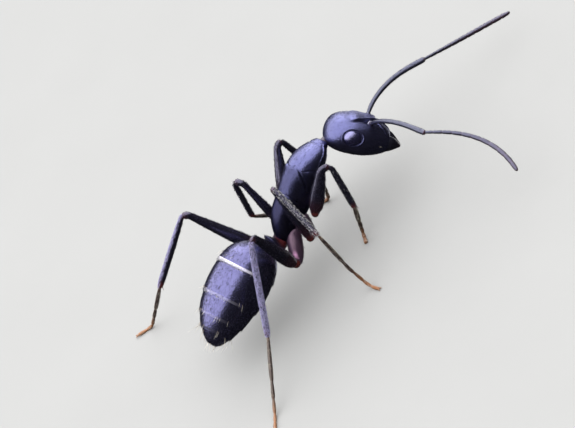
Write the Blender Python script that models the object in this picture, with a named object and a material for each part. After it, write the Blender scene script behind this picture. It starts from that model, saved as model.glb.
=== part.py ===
"""Carpenter ant worker, a still life-size model: solids of the body, feelers and legs.

Lengths are in millimetres until a mesh is made, which is in metres. +X is forward, +Y is the
ant's left and +Z is up. The ant stands on Z = 0 and the origin is under the middle of its box.
Neighbouring solids keep a thin gap, so that each part a person would name is a body of its own.
"""
import math

import bpy
import numpy as np
from mathutils import Vector

# ---------------------------------------------------------------- driving dimensions (mm, degrees)
GAP = 0.05                 # thin cut between neighbouring parts
FEELER_R = 0.25            # radius of the thin solids: feelers, shanks and feet
BODY_SIDES = 28            # facets round the head, trunk and gaster
LIMB_SIDES = 10            # facets round a leg or a feeler

TRUNK_REAR = (-0.17, 0.0, 2.53)
TRUNK_LENGTH = 4.85
TRUNK_PITCH = 22.4         # the trunk rises toward the neck
COLLAR_SUTURE = 3.25       # pronotum in front of it, from the trunk's rear end
WAIST_SUTURE = 1.95        # propodeum behind it

HEAD_CENTRE = (5.58, -0.47, 3.47)
HEAD_LENGTH = 3.06
HEAD_TURN = -31.0          # to the ant's right
HEAD_NOD = 51.6            # face down
HEAD_ROLL = -9.8
EYE_SEAT = (-0.44, 0.86, 0.20)          # along the head, out to the side, up
EYE_SIZE = (0.44, 0.26, 0.35)           # half sizes: along, through, high
EYE_TILT = 20.0                         # the eye looks a little upward
SOCKET_SEAT = (0.36, 0.33, 0.76)        # antennal socket, in the head's own directions

GASTER_FRONT = (-1.04, 0.0, 3.27)
GASTER_LENGTH = 5.08
GASTER_DROOP = 16.1        # the gaster's axis falls toward its tip
GASTER_SUTURES = (1.40, 2.95, 3.90, 4.50)

SCAPE_LENGTH = 3.85
# how far each scape arches outward, and toward the top of the head
SCAPE_BOW = {"right": (0.24, 0.40), "left": (0.54, 0.39)}
FUNICULUS_LENGTH = 5.10
# heading and climb of the scape, then of the funiculus where it starts and where it ends
FEELER_POSE = {
    "right": ((-80.2, 2.1), (-40.5, -29.6), (-113.0, -25.3)),
    "left": ((-2.0, -4.8), (11.7, -30.7), (-10.0, -18.9)),
}

# each pair of legs: where the coxa leaves the trunk and where it ends (the left leg's, mirrored
# for the right), then the lengths of femur, tibia, leaning tarsus and flat foot
LEG_BUILD = {
    "fore": dict(root=(3.20, 0.36, 3.62), tip=(1.36, 1.04, 2.70), femur=3.10, tibia=2.87,
                 tarsus=2.15, foot=0.55, thigh=0.33),
    "mid": dict(root=(1.20, 0.28, 2.86), tip=(0.60, 0.95, 1.82), femur=4.18, tibia=3.11,
                tarsus=3.72, foot=0.60, thigh=0.28),
    "hind": dict(root=(0.50, 0.24, 2.72), tip=(-0.68, 0.98, 1.66), femur=4.81, tibia=4.77,
                 tarsus=3.57, foot=0.80, thigh=0.34),
}
# heading from straight ahead outward, and climb, of femur and tibia; heading of tarsus and foot.
# A knuckle splits the tarsus: the share before it hangs straight down
LEG_POSE = {
    ("fore", "right"): dict(femur=(26.7, 46.9), tibia=(171, -81.5), tarsus=-111, foot=119),
    ("fore", "left"): dict(femur=(21.7, 49.8), tibia=(18, -80.5), tarsus=124, foot=124),
    ("mid", "right"): dict(femur=(66.9, 83.0), tibia=(101.5, -42.3), tarsus=76, foot=82, knuckle=0.66),
    ("mid", "left"): dict(femur=(98.5, 82.2), tibia=(119, -72.6), tarsus=40, foot=95),
    ("hind", "right"): dict(femur=(122.1, 64.7), tibia=(173, -56.6), tarsus=148.7, foot=131),
    ("hind", "left"): dict(femur=(133.5, 64.1), tibia=(141.5, -42.6), tarsus=117, foot=150),
}
BEND_R = 0.29              # centre-line radius of the sharp bends at trochanter and knee
SOFT_BEND_R = 0.45         # the same at ankle and foot
FOOT_AXIS_Z = 0.20         # the foot's axis: its underside is cut flat on Z = 0

BLACK = (0.012, 0.011, 0.022)
DARK = (0.018, 0.012, 0.018)
RUSSET = (0.090, 0.020, 0.015)
AMBER = (0.160, 0.050, 0.020)


# ---------------------------------------------------------------- shape helpers
def direction(heading, climb):
    """Unit vector from a heading (0 is +X, 90 is +Y) and a climb above level."""
    h, c = math.radians(heading), math.radians(climb)
    return np.array([math.cos(c) * math.cos(h), math.cos(c) * math.sin(h), math.sin(c)])


def smooth(rows, at):
    """Values between table rows by a monotone cubic, so that no bump appears between rows."""
    rows = np.asarray(rows, float)
    x, y = rows[:, 0], rows[:, 1:]
    step = np.diff(x)[:, None]
    slope = np.diff(y, axis=0) / step
    tangent = np.zeros_like(y)
    same_way = slope[1:] * slope[:-1] > 0
    harmonic = 2 * slope[1:] * slope[:-1] / np.where(same_way, slope[1:] + slope[:-1], 1)
    tangent[1:-1] = np.where(same_way, harmonic, 0)
    tangent[0], tangent[-1] = slope[0], slope[-1]
    at = np.clip(at, x[0], x[-1])
    k = np.clip(np.searchsorted(x, at, side="right") - 1, 0, len(x) - 2)
    h = step[k]
    t = ((at - x[k]) / h[:, 0])[:, None]
    return ((2 * t**3 - 3 * t**2 + 1) * y[k] + (t**3 - 2 * t**2 + t) * h * tangent[k]
            + (3 * t**2 - 2 * t**3) * y[k + 1] + (t**3 - t**2) * h * tangent[k + 1])


class Frame:
    """Own directions of a body part: along, to the left and up, about an origin."""

    def __init__(self, origin, turn=0.0, nod=0.0, roll=0.0):
        self.origin = np.array(origin, float)
        self.along = direction(turn, -nod)
        level_left = direction(turn + 90, 0)
        level_up = np.cross(self.along, level_left)
        r = math.radians(roll)
        self.left = math.cos(r) * level_left + math.sin(r) * level_up
        self.up = np.cross(self.along, self.left)

    def place(self, local):
        """Own coordinates (along, left, up) to the ant's."""
        axes = np.array([self.along, self.left, self.up])
        return self.origin + np.asarray(local, float) @ axes


def skin_rings(rings):
    """Closed mesh over a stack of rings (rings, sides, 3), with a fan on each end."""
    count, sides, _ = rings.shape
    verts = np.concatenate([rings.reshape(-1, 3), [rings[0].mean(axis=0)], [rings[-1].mean(axis=0)]])
    first, last = count * sides, count * sides + 1
    here = np.arange(sides)
    after = (here + 1) % sides
    quads = [(k * sides + a, k * sides + b, (k + 1) * sides + b, (k + 1) * sides + a)
             for k in range(count - 1) for a, b in zip(here, after)]
    fans = [(first, b, a) for a, b in zip(here, after)]
    fans += [(last, (count - 1) * sides + a, (count - 1) * sides + b) for a, b in zip(here, after)]
    return verts, quads + fans


def volume(verts, faces):
    """Signed volume of a closed mesh, by fans from each face's first corner."""
    total = 0.0
    for face in faces:
        a = verts[face[0]]
        for b, c in zip(face[1:-1], face[2:]):
            total += np.dot(a, np.cross(verts[b], verts[c])) / 6
    return total


def make(name, rings, colour=BLACK, roughness=0.4):
    """Object in metres from rings in millimetres, faces out, with its own material."""
    verts, faces = skin_rings(rings)
    if volume(verts, faces) < 0:
        faces = [face[::-1] for face in faces]
    mesh = bpy.data.meshes.new(name)
    mesh.from_pydata([tuple(v) for v in verts / 1000], [], [tuple(int(i) for i in f) for f in faces])
    mesh.shade_smooth()
    mesh.set_sharp_from_angle(angle=math.radians(50))
    piece = bpy.data.objects.new(name, mesh)
    bpy.context.scene.collection.objects.link(piece)
    finish = bpy.data.materials.new(name)
    finish.use_nodes = True
    shader = finish.node_tree.nodes["Principled BSDF"]
    shader.inputs["Base Color"].default_value = (*colour, 1)
    shader.inputs["Roughness"].default_value = roughness
    shader.inputs["Metallic"].default_value = 0.0
    mesh.materials.append(finish)
    return piece


def guide(name, rings):
    """Cutter: a closed body that only takes material away."""
    piece = make(name, rings)
    piece.hide_render = True
    piece.display_type = "WIRE"
    return piece


def cut(piece, *cutters):
    """Exact Boolean cuts, kept as modifiers on the piece."""
    for cutter in cutters:
        step = piece.modifiers.new("cut_" + cutter.name, "BOOLEAN")
        step.operation = "DIFFERENCE"
        step.solver = "EXACT"
        step.object = cutter


def section_rings(frame, rows, at, grow=0.0, sides=BODY_SIDES, power=2.0):
    """Rings square to a body's axis. A row holds place, half width, top and bottom.

    Each ring is a superellipse: |y / width| ** power + |z / height| ** power = 1.
    """
    values = smooth(rows, at)
    angle = 2 * math.pi * (np.arange(sides) + 0.5) / sides
    cos, sin = np.cos(angle), np.sin(angle)
    across = np.sign(cos) * np.abs(cos) ** (2 / power)
    upward = np.sign(sin) * np.abs(sin) ** (2 / power)
    rings = []
    for place, (width, top, bottom) in zip(at, values):
        middle, height = (top + bottom) / 2, (top - bottom) / 2
        ring = np.stack([np.full(sides, place), (width + grow) * across,
                         middle + (height + grow) * upward], axis=1)
        rings.append(frame.place(ring))
    return np.array(rings)


def round_ends(start, end, count, front=True, back=True):
    """Places along an axis, closer together toward each end that is rounded off."""
    low = 0.0 if front else math.pi / 2
    high = math.pi if back else math.pi / 2
    spread = -np.cos(np.linspace(low, high, count))
    spread = (spread - spread[0]) / (spread[-1] - spread[0])
    return start + (end - start) * spread


# ---------------------------------------------------------------- centre lines
def rounded_route(points, bends, arc_points=5):
    """Polyline with each inner corner replaced by an arc; also gives the arcs' index ranges."""
    points = [np.array(p, float) for p in points]
    route, arcs = [points[0]], []
    for before, corner, after, radius in zip(points, points[1:], points[2:], bends):
        a = (before - corner) / np.linalg.norm(before - corner)
        b = (after - corner) / np.linalg.norm(after - corner)
        half = math.acos(np.clip(a @ b, -1, 1)) / 2
        inward = (a + b) / np.linalg.norm(a + b)
        centre = corner + inward * radius / math.sin(half)
        start, end = corner + a * radius / math.tan(half), corner + b * radius / math.tan(half)
        u, v = (start - centre) / radius, (end - centre) / radius
        sweep = math.pi - 2 * half
        first = len(route)
        for t in np.linspace(0, 1, arc_points):
            w = (math.sin((1 - t) * sweep) * u + math.sin(t * sweep) * v) / math.sin(sweep)
            route.append(centre + radius * w)
        arcs.append((first, len(route) - 1))
    route.append(points[-1])
    return np.array(route), arcs


def tube_rings(route, radii, sides=LIMB_SIDES):
    """Rings along a route, each turned from the last with no twist."""
    tangent = np.gradient(route, axis=0)
    tangent[0], tangent[-1] = route[1] - route[0], route[-1] - route[-2]
    chord = np.diff(route, axis=0)
    chord /= np.linalg.norm(chord, axis=1)[:, None]
    tangent[1:-1] = chord[1:] + chord[:-1]
    tangent /= np.linalg.norm(tangent, axis=1)[:, None]
    side = np.cross(tangent[0], (0, 0, 1.0))
    angle = 2 * math.pi * np.arange(sides) / sides
    rings = []
    for point, along, radius in zip(route, tangent, radii):
        side = side - along * (side @ along)
        side /= np.linalg.norm(side)
        over = np.cross(along, side)
        rings.append(point + radius * (np.cos(angle)[:, None] * side + np.sin(angle)[:, None] * over))
    return np.array(rings)


def rounded_tip(route, radii, steps=3):
    """Adds a dome of half the last radius' length to the end of a route."""
    along = route[-1] - route[-2]
    along = along / np.linalg.norm(along)
    reach, radius = 0.8 * radii[-1], radii[-1]
    extra = [(route[-1] + along * reach * math.sin(t), radius * math.cos(t))
             for t in np.linspace(0, 0.42 * math.pi, steps + 1)[1:]]
    return np.vstack([route] + [p for p, _ in extra]), np.append(radii, [r for _, r in extra])


def between(route, first, last, spare_start=0.0, spare_end=0.0, inner=1):
    """Stretch of a route from one index to another, with its ends drawn in for the gap.

    A long straight stretch gets extra points, so that its radius can swell between its ends.
    """
    part = route[first:last + 1].copy()
    part[0] += (part[1] - part[0]) / np.linalg.norm(part[1] - part[0]) * spare_start
    part[-1] += (part[-2] - part[-1]) / np.linalg.norm(part[-2] - part[-1]) * spare_end
    out = [part[0]]
    for a, b in zip(part, part[1:]):
        if np.linalg.norm(b - a) > 0.8:
            out += [a + (b - a) * k / (inner + 1) for k in range(1, inner + 1)]
        out.append(b)
    return np.array(out)


def travelled(route):
    """Distance along a route at each point, as a share of the whole."""
    d = np.append(0, np.cumsum(np.linalg.norm(np.diff(route, axis=0), axis=1)))
    return d / d[-1]


# ---------------------------------------------------------------- trunk and waist
TRUNK = Frame(TRUNK_REAR, nod=-TRUNK_PITCH)
TRUNK_ROWS = [              # place from the rear end, half width, top, bottom
    (-0.05, 0.30, 0.30, -0.28),
    (0.30, 0.44, 0.66, -0.42),
    (0.75, 0.55, 1.02, -0.50),
    (1.30, 0.61, 1.17, -0.56),
    (1.95, 0.64, 1.16, -0.62),
    (2.60, 0.72, 1.26, -0.64),
    (3.25, 0.77, 1.24, -0.62),
    (3.75, 0.82, 1.10, -0.55),
    (4.25, 0.72, 0.80, -0.42),
    (4.60, 0.50, 0.46, -0.30),
    (4.85, 0.30, 0.24, -0.24),
]


def build_trunk():
    """Pronotum, mesothorax and propodeum, parted by flat cuts at the sutures."""
    rear, front, half = 0.0, TRUNK_LENGTH, GAP / 2
    spans = {
        "propodeum": np.linspace(rear, WAIST_SUTURE - half, 7),
        "mesothorax": np.linspace(WAIST_SUTURE + half, COLLAR_SUTURE - half, 5),
        "pronotum": round_ends(COLLAR_SUTURE + half, front, 8, front=False),
    }
    for name, at in spans.items():
        make(name, section_rings(TRUNK, TRUNK_ROWS, at, power=2.15), BLACK, 0.42)


def trunk_cutter():
    """The trunk grown by the gap, to trim what is set against it."""
    at = np.linspace(-0.05, TRUNK_LENGTH + GAP, 16)
    return guide("trunk_cutter", section_rings(TRUNK, TRUNK_ROWS, at, grow=GAP, power=2.15))


WAIST = Frame((0.0, 0.0, 0.0), turn=180)
WAIST_ROWS = [              # distance behind the origin, half width, top, bottom
    (0.10, 0.27, 2.80, 2.28),
    (0.30, 0.33, 2.90, 2.20),
    (0.48, 0.42, 3.24, 2.16),
    (0.60, 0.46, 3.40, 2.15),
    (0.72, 0.43, 3.31, 2.16),
    (0.90, 0.33, 2.95, 2.22),
    (1.35, 0.27, 2.86, 2.30),
]


def build_waist(trunk, gaster):
    """Petiole: a short stalk with one upright scale, between trunk and gaster."""
    at = np.array([0.10, 0.30, 0.42, 0.54, 0.62, 0.70, 0.80, 0.95, 1.35])
    petiole = make("petiole", section_rings(WAIST, WAIST_ROWS, at, sides=20), RUSSET, 0.45)
    cut(petiole, trunk, gaster)


# ---------------------------------------------------------------- gaster
GASTER = Frame(GASTER_FRONT, turn=180, nod=GASTER_DROOP)
GASTER_PROFILE = [          # place from the front, half width, height of the axis, half height
    (0.00, 0.28, 0.00, 0.28),
    (0.18, 0.74, 0.02, 0.76),
    (0.50, 1.08, 0.10, 1.10),
    (0.94, 1.29, 0.16, 1.32),
    (1.82, 1.41, 0.16, 1.46),
    (2.77, 1.33, 0.20, 1.38),
    (3.60, 1.14, 0.22, 1.18),
    (4.20, 0.90, 0.17, 0.93),
    (4.77, 0.52, 0.08, 0.54),
    (5.00, 0.26, 0.02, 0.27),
    (5.08, 0.08, 0.00, 0.08),
]
GASTER_ROWS = [(place, width, axis + high, axis - high)
               for place, width, axis, high in GASTER_PROFILE]


def build_gaster():
    """Five segments, parted by flat cuts square to the axis."""
    half = GAP / 2
    edges = (0.0, *GASTER_SUTURES, GASTER_LENGTH)
    counts = (6, 5, 4, 3, 6)
    for number, (start, end, count) in enumerate(zip(edges, edges[1:], counts), 1):
        first, last = number == 1, number == len(counts)
        start, end = start + (0 if first else half), end - (0 if last else half)
        at = round_ends(start, end, count, front=first, back=last) if first or last \
            else np.linspace(start, end, count)
        rings = section_rings(GASTER, GASTER_ROWS, at)
        make(f"gaster_segment_{number}", rings, BLACK, 0.3)


def gaster_cutter():
    """The front of the gaster grown by the gap."""
    at = round_ends(-GAP, 1.2, 8, back=False)
    return guide("gaster_cutter", section_rings(GASTER, GASTER_ROWS, at, grow=GAP))


# ---------------------------------------------------------------- head, eyes, jaws and neck
HEAD = Frame(HEAD_CENTRE, HEAD_TURN, HEAD_NOD, HEAD_ROLL)
HEAD_REAR = -HEAD_LENGTH / 2
HEAD_ROWS = [(HEAD_REAR + share * HEAD_LENGTH, width, top, bottom) for share, width, top, bottom in (
    (0.00, 0.20, 0.14, -0.22),
    (0.02, 0.45, 0.36, -0.42),
    (0.07, 0.74, 0.62, -0.60),
    (0.16, 0.96, 0.82, -0.76),
    (0.30, 1.07, 0.93, -0.86),
    (0.50, 1.06, 0.95, -0.89),
    (0.66, 0.98, 0.91, -0.86),
    (0.80, 0.86, 0.75, -0.76),
    (0.90, 0.74, 0.60, -0.65),
    (0.97, 0.60, 0.45, -0.53),
    (1.00, 0.42, 0.29, -0.38),
)]


def side_sign(side):
    """+1 on the ant's left, -1 on its right."""
    return 1 if side == "left" else -1


def ellipsoid_rings(centre, axes, sizes, rings=7, sides=14):
    """Rings of an ellipsoid about its first axis, which points out of its flat face."""
    out = []
    angle = 2 * math.pi * np.arange(sides) / sides
    for t in np.linspace(-0.46 * math.pi, 0.46 * math.pi, rings):
        ring = (centre + axes[0] * sizes[0] * math.sin(t)
                + math.cos(t) * (np.cos(angle)[:, None] * axes[1] * sizes[1]
                                 + np.sin(angle)[:, None] * axes[2] * sizes[2]))
        out.append(ring)
    return np.array(out)


def build_head():
    """Head capsule with a pocket for each eye, and the eyes seated in them."""
    at = round_ends(HEAD_REAR, -HEAD_REAR, 15)
    head = make("head", section_rings(HEAD, HEAD_ROWS, at, power=2.1), BLACK, 0.42)
    along, out, up = EYE_SEAT
    length, depth, height = EYE_SIZE
    tilt = math.radians(EYE_TILT)
    for side in ("left", "right"):
        sign = side_sign(side)
        centre = HEAD.place((along, sign * out, up))
        outward = sign * math.cos(tilt) * HEAD.left + math.sin(tilt) * HEAD.up
        axes = (outward, HEAD.along, np.cross(outward, HEAD.along))
        make(f"eye_{side}", ellipsoid_rings(centre, axes, (depth, length, height)), DARK, 0.2)
        pocket = ellipsoid_rings(centre, axes, (depth + GAP, length + GAP, height + GAP))
        cut(head, guide(f"eye_pocket_{side}", pocket))


def head_cutter():
    """The head grown by the gap."""
    at = round_ends(HEAD_REAR - GAP, -HEAD_REAR + GAP, 17)
    return guide("head_cutter", section_rings(HEAD, HEAD_ROWS, at, grow=GAP, power=2.1))


def build_jaws(head):
    """Two closed jaws that taper from the front of the head to one point."""
    at = np.array([1.15, 1.45, 1.70, 1.92, 2.06, 2.13, 2.17])
    rows = np.array([       # place, outer edge, top, bottom
        (1.15, 0.66, 0.18, -0.50),
        (1.45, 0.64, 0.19, -0.45),
        (1.70, 0.54, 0.15, -0.35),
        (1.92, 0.38, 0.04, -0.28),
        (2.06, 0.25, -0.05, -0.26),
        (2.13, 0.17, -0.10, -0.25),
        (2.17, 0.10, -0.14, -0.24),
    ])
    for side in ("left", "right"):
        inner = GAP / 2
        half_width = (rows[:, 1] - inner) / 2
        middle = (rows[:, 1] + inner) / 2
        centre_line = np.stack([rows[:, 0], side_sign(side) * middle, np.zeros(len(rows))], axis=1)
        plain = Frame((0, 0, 0))
        table = np.column_stack([rows[:, 0], half_width, rows[:, 2], rows[:, 3]])
        rings = section_rings(plain, table, at, sides=12, power=2.3)
        rings[:, :, 1] += centre_line[:, 1][:, None]
        jaw = make(f"mandible_{side}", HEAD.place(rings), DARK, 0.35)
        cut(jaw, head)


def build_neck(head, trunk):
    """Short neck between the back of the head and the collar."""
    collar = TRUNK.place((TRUNK_LENGTH - 0.06, 0, 0.02))
    nape = HEAD.place((HEAD_REAR + 0.42, 0, -0.16))
    route = np.array([collar + (nape - collar) * t for t in (0, 0.35, 0.65, 1)])
    neck = make("neck", tube_rings(route, [0.19] * 4, sides=14), RUSSET, 0.4)
    cut(neck, head, trunk)


def build_feeler(side, head):
    """Scape, then a funiculus whose heading and climb turn evenly along its length."""
    scape_way, start_way, end_way = FEELER_POSE[side]
    along, out, up = SOCKET_SEAT
    socket = HEAD.place((along, side_sign(side) * out, up))
    elbow = socket + direction(*scape_way) * SCAPE_LENGTH
    steps = 7
    turn = np.linspace(start_way, end_way, steps)
    rise = [direction(*way) * FUNICULUS_LENGTH / steps for way in turn]
    whip = np.vstack([elbow, elbow + np.cumsum(rise, axis=0)])
    reach = 1 - 0.16 / SCAPE_LENGTH
    shares = np.linspace(0, reach, 6)[:, None]
    outward, upward = SCAPE_BOW[side]
    bow = side_sign(side) * HEAD.left * outward + HEAD.up * upward
    arch = shares**0.6 * (1 - shares) ** 1.2 / 0.318      # highest a third of the way along
    scape_route = socket + (elbow - socket) * shares + bow * arch
    scape = make(f"scape_{side}", tube_rings(scape_route, [FEELER_R] * 6), BLACK, 0.4)
    cut(scape, head)
    whip[0] += direction(*start_way) * 0.10
    whip[-1] -= rise[-1] / np.linalg.norm(rise[-1]) * 0.8 * FEELER_R
    route, radii = rounded_tip(whip, np.full(len(whip), FEELER_R))
    make(f"funiculus_{side}", tube_rings(route, radii), DARK, 0.45)


# ---------------------------------------------------------------- legs
def leg_corners(pair, side):
    """Corner points of one leg's centre line, from inside the trunk to the toe."""
    build, pose, sign = LEG_BUILD[pair], LEG_POSE[(pair, side)], side_sign(side)
    mirror = np.array([1, sign, 1])

    def way(heading, climb=0.0):
        return direction(heading, climb) * mirror

    root, tip = np.array(build["root"]) * mirror, np.array(build["tip"]) * mirror
    knee = tip + way(*pose["femur"]) * build["femur"]
    ankle = knee + way(*pose["tibia"]) * build["tibia"]
    hanging = pose.get("knuckle", 0) * build["tarsus"]
    knuckle = ankle - (0, 0, hanging)
    drop = knuckle[2] - FOOT_AXIS_Z
    run = math.sqrt((build["tarsus"] - hanging) ** 2 - drop ** 2)
    heel = knuckle + way(pose["tarsus"]) * run
    heel[2] = FOOT_AXIS_Z
    toe = heel + way(pose["foot"]) * build["foot"]
    return [root, tip, knee, ankle] + ([knuckle] if hanging else []) + [heel, toe]


def pushed_out(before, corner, after, radius, reach):
    """Corner moved outward, so that its rounded bend still reaches the sharp corner's place."""
    a = (before - corner) / np.linalg.norm(before - corner)
    b = (after - corner) / np.linalg.norm(after - corner)
    half = math.acos(a @ b) / 2
    short = radius / math.sin(half) - radius
    return corner - (a + b) / np.linalg.norm(a + b) * max(short - reach, 0)


def build_leg(pair, side, trunk):
    """Coxa, femur with trochanter, tibia and tarsus, parted by thin cuts across one route."""
    root, tip, knee, ankle, *foot = leg_corners(pair, side)
    thigh = LEG_BUILD[pair]["thigh"]
    tip = pushed_out(root, tip, knee, BEND_R, 0.14)
    knee = pushed_out(tip, knee, ankle, BEND_R, 0.18)
    route, arcs = rounded_route((root, tip, knee, ankle, *foot),
                                (BEND_R, BEND_R) + (SOFT_BEND_R,) * len(foot))
    hip, bend, shank_end = arcs[:3]
    half = GAP / 2
    label = f"{pair}_{side}"

    coxa = between(route, 0, hip[0], 0, half, inner=2)
    swell = np.interp(travelled(coxa), (0, 0.6, 1), (0.34, 0.33, 0.27))
    coxa_piece = make(f"coxa_{label}", tube_rings(coxa, swell), RUSSET, 0.4)
    cut(coxa_piece, trunk)

    femur = between(route, hip[0], bend[0], half, half, inner=3)
    swell = np.interp(travelled(femur), (0, 0.10, 0.4, 0.75, 1),
                      (0.27, thigh * 0.97, thigh, max(0.25, thigh * 0.78), 0.25))
    make(f"femur_{label}", tube_rings(femur, swell), DARK, 0.35)

    tibia = between(route, bend[0], shank_end[0], half, half, inner=1)
    make(f"tibia_{label}", tube_rings(tibia, np.full(len(tibia), FEELER_R)), DARK, 0.45)

    foot_route = between(route, shank_end[0], len(route) - 1, half, 0.8 * FEELER_R, inner=1)
    foot_route, radii = rounded_tip(foot_route, np.full(len(foot_route), FEELER_R))
    rings = tube_rings(foot_route, radii)
    rings[:, :, 2] = np.maximum(rings[:, :, 2], 0.0)
    make(f"tarsus_{label}", rings, AMBER, 0.5)


# ---------------------------------------------------------------- the whole ant
def centre_over_box():
    """Moves the solids so that the origin is under the middle of their box, on the floor."""
    bpy.context.view_layer.update()
    graph = bpy.context.evaluated_depsgraph_get()
    corners = []
    for piece in bpy.context.scene.objects:
        if piece.hide_render:
            continue
        shape = piece.evaluated_get(graph)
        corners += [shape.matrix_world @ Vector(corner) for corner in shape.bound_box]
    low = [min(c[axis] for c in corners) for axis in range(3)]
    high = [max(c[axis] for c in corners) for axis in range(3)]
    for piece in bpy.context.scene.objects:
        piece.location.x -= (low[0] + high[0]) / 2
        piece.location.y -= (low[1] + high[1]) / 2
        piece.location.z -= low[2]


def main():
    for old in list(bpy.data.objects):
        bpy.data.objects.remove(old, do_unlink=True)
    build_head()
    build_trunk()
    build_gaster()
    trunk, gaster, head = trunk_cutter(), gaster_cutter(), head_cutter()
    build_waist(trunk, gaster)
    build_jaws(head)
    build_neck(head, trunk)
    for side in ("left", "right"):
        build_feeler(side, head)
        for pair in LEG_BUILD:
            build_leg(pair, side, trunk)
    centre_over_box()


main()
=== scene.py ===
# %% [markdown]
# # A carpenter ant, life size
#
# The finished model is about 14 mm long, so every number below is in millimetres, and a mesh is
# scaled to metres only when it is made. The solids of the ant are loaded first. They say where
# each part is, and nothing here moves them: each part gets a finer surface of its own.

# %% Load the solids of the ant
import math

import bpy
import numpy as np
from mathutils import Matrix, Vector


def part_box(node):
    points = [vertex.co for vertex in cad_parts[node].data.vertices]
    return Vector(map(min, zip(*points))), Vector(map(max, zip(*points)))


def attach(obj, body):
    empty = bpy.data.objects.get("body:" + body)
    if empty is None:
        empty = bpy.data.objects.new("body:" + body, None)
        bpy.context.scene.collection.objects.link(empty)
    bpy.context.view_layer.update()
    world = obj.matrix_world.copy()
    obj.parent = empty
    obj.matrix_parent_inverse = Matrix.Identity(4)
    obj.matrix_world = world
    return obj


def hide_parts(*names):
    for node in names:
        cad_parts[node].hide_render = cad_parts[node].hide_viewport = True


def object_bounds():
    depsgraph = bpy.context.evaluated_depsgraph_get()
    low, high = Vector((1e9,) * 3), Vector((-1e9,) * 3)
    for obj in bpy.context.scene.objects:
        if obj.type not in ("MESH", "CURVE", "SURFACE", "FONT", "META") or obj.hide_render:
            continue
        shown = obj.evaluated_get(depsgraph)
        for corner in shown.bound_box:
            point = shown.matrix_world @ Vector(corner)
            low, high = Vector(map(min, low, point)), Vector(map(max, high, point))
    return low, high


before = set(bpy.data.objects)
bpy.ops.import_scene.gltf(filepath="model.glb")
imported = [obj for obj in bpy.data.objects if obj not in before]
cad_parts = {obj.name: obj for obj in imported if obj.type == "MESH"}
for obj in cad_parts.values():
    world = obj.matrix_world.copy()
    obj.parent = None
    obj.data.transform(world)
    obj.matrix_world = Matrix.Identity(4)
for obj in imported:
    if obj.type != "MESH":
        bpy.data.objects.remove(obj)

MM = 0.001
SIDES = {"left": 1, "right": -1}        # the sign of a step outward, along the ant's own left
solids_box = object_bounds()
spans = np.subtract(solids_box[1], solids_box[0]) / MM
print("solids:", len(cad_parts), "in a box of", spans.round(2), "mm")

# %% [markdown]
# ## Own directions of a body part
#
# The head, the trunk and the gaster each lean their own way. It is easier to shape a head that
# looks straight ahead and to turn it afterwards. One way is to rotate objects; here a small class
# holds a part's three own directions and turns whole arrays of points at once, so that every
# finished mesh already lies in its place.

# %% Directions
def direction(heading, climb=0.0):
    """Unit vector (cos c cos h, cos c sin h, sin c) of a heading h and a climb c, in degrees.

    Heading 0 is +X and 90 is +Y. A climb is counted up from level.
    """
    h, c = math.radians(heading), math.radians(climb)
    return np.array([math.cos(c) * math.cos(h), math.cos(c) * math.sin(h), math.sin(c)])


def unit(v):
    """Vectors divided by their own lengths."""
    return v / np.maximum(np.linalg.norm(v, axis=-1, keepdims=True), 1e-12)


class Axes:
    """Own directions of a body part: along, to the left and up, about an origin.

    Along has the heading turn and dives by nod. Left is cos r level left + sin r level up for a
    roll r, and up is along x left. All three angles are in degrees.
    """

    def __init__(self, origin, turn=0.0, nod=0.0, roll=0.0):
        self.origin = np.array(origin, float)
        self.along = direction(turn, -nod)
        level_left = direction(turn + 90)
        level_up = np.cross(self.along, level_left)
        r = math.radians(roll)
        self.left = math.cos(r) * level_left + math.sin(r) * level_up
        self.up = np.cross(self.along, self.left)
        self.matrix = np.array([self.along, self.left, self.up])

    def place(self, local):
        """Own coordinates (along, left, up) to the ant's."""
        return self.origin + np.asarray(local, float) @ self.matrix

    def way(self, local):
        """An own direction turned to the ant's."""
        return np.asarray(local, float) @ self.matrix


# %% Head, trunk, waist and gaster
HEAD_LENGTH = 3.06
HEAD = Axes((5.58, -0.47, 3.47), turn=-31.0, nod=51.6, roll=-9.8)
TRUNK_LENGTH = 4.85
TRUNK = Axes((-0.17, 0.0, 2.53), nod=-22.4)
WAIST = Axes((0.0, 0.0, 0.0), turn=180)
GASTER_LENGTH = 5.08
GASTER_SUTURES = (1.40, 2.95, 3.90, 4.50)
GASTER = Axes((-1.04, 0.0, 3.27), turn=180, nod=16.1)
for name, axes in (("head", HEAD), ("trunk", TRUNK), ("waist", WAIST), ("gaster", GASTER)):
    print(name, "points along", axes.along.round(2), "with its top toward", axes.up.round(2))

# %% [markdown]
# ## Where the ant stands
#
# The design's own origin is at the rear of the trunk, while the solids were set with the middle of
# their box over the origin. An eye is an ellipsoid, so the middle of its box is its centre, and
# comparing that with its seat in the head gives the shift between the two.

# %% Shift from the design to the solids
EYE_SEAT = (-0.44, 0.86, 0.20)      # along the head, out to the side, up
EYE_SIZE = (0.44, 0.26, 0.35)       # half sizes: along, through, high
EYE_TILT = 20.0
eye_low, eye_high = (np.array(corner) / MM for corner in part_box("eye_right"))
SHIFT = (eye_low + eye_high) / 2 - HEAD.place(np.array(EYE_SEAT) * (1, SIDES["right"], 1))
print("shift", SHIFT.round(3), "mm; its height should be near 0")
SHIFT[2] = 0.0

# %% [markdown]
# ## Surfaces from control rows
#
# Armour plates are smooth, and their gloss shows every kink. A table of a few cross sections could
# be joined by straight lines or by curves that pass through each row, but both leave bumps in a
# highlight. A cubic B-spline runs close to its control rows and its curvature never jumps, so the
# gloss flows. A row repeated at the same place with no width closes an end with a round cap.

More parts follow.
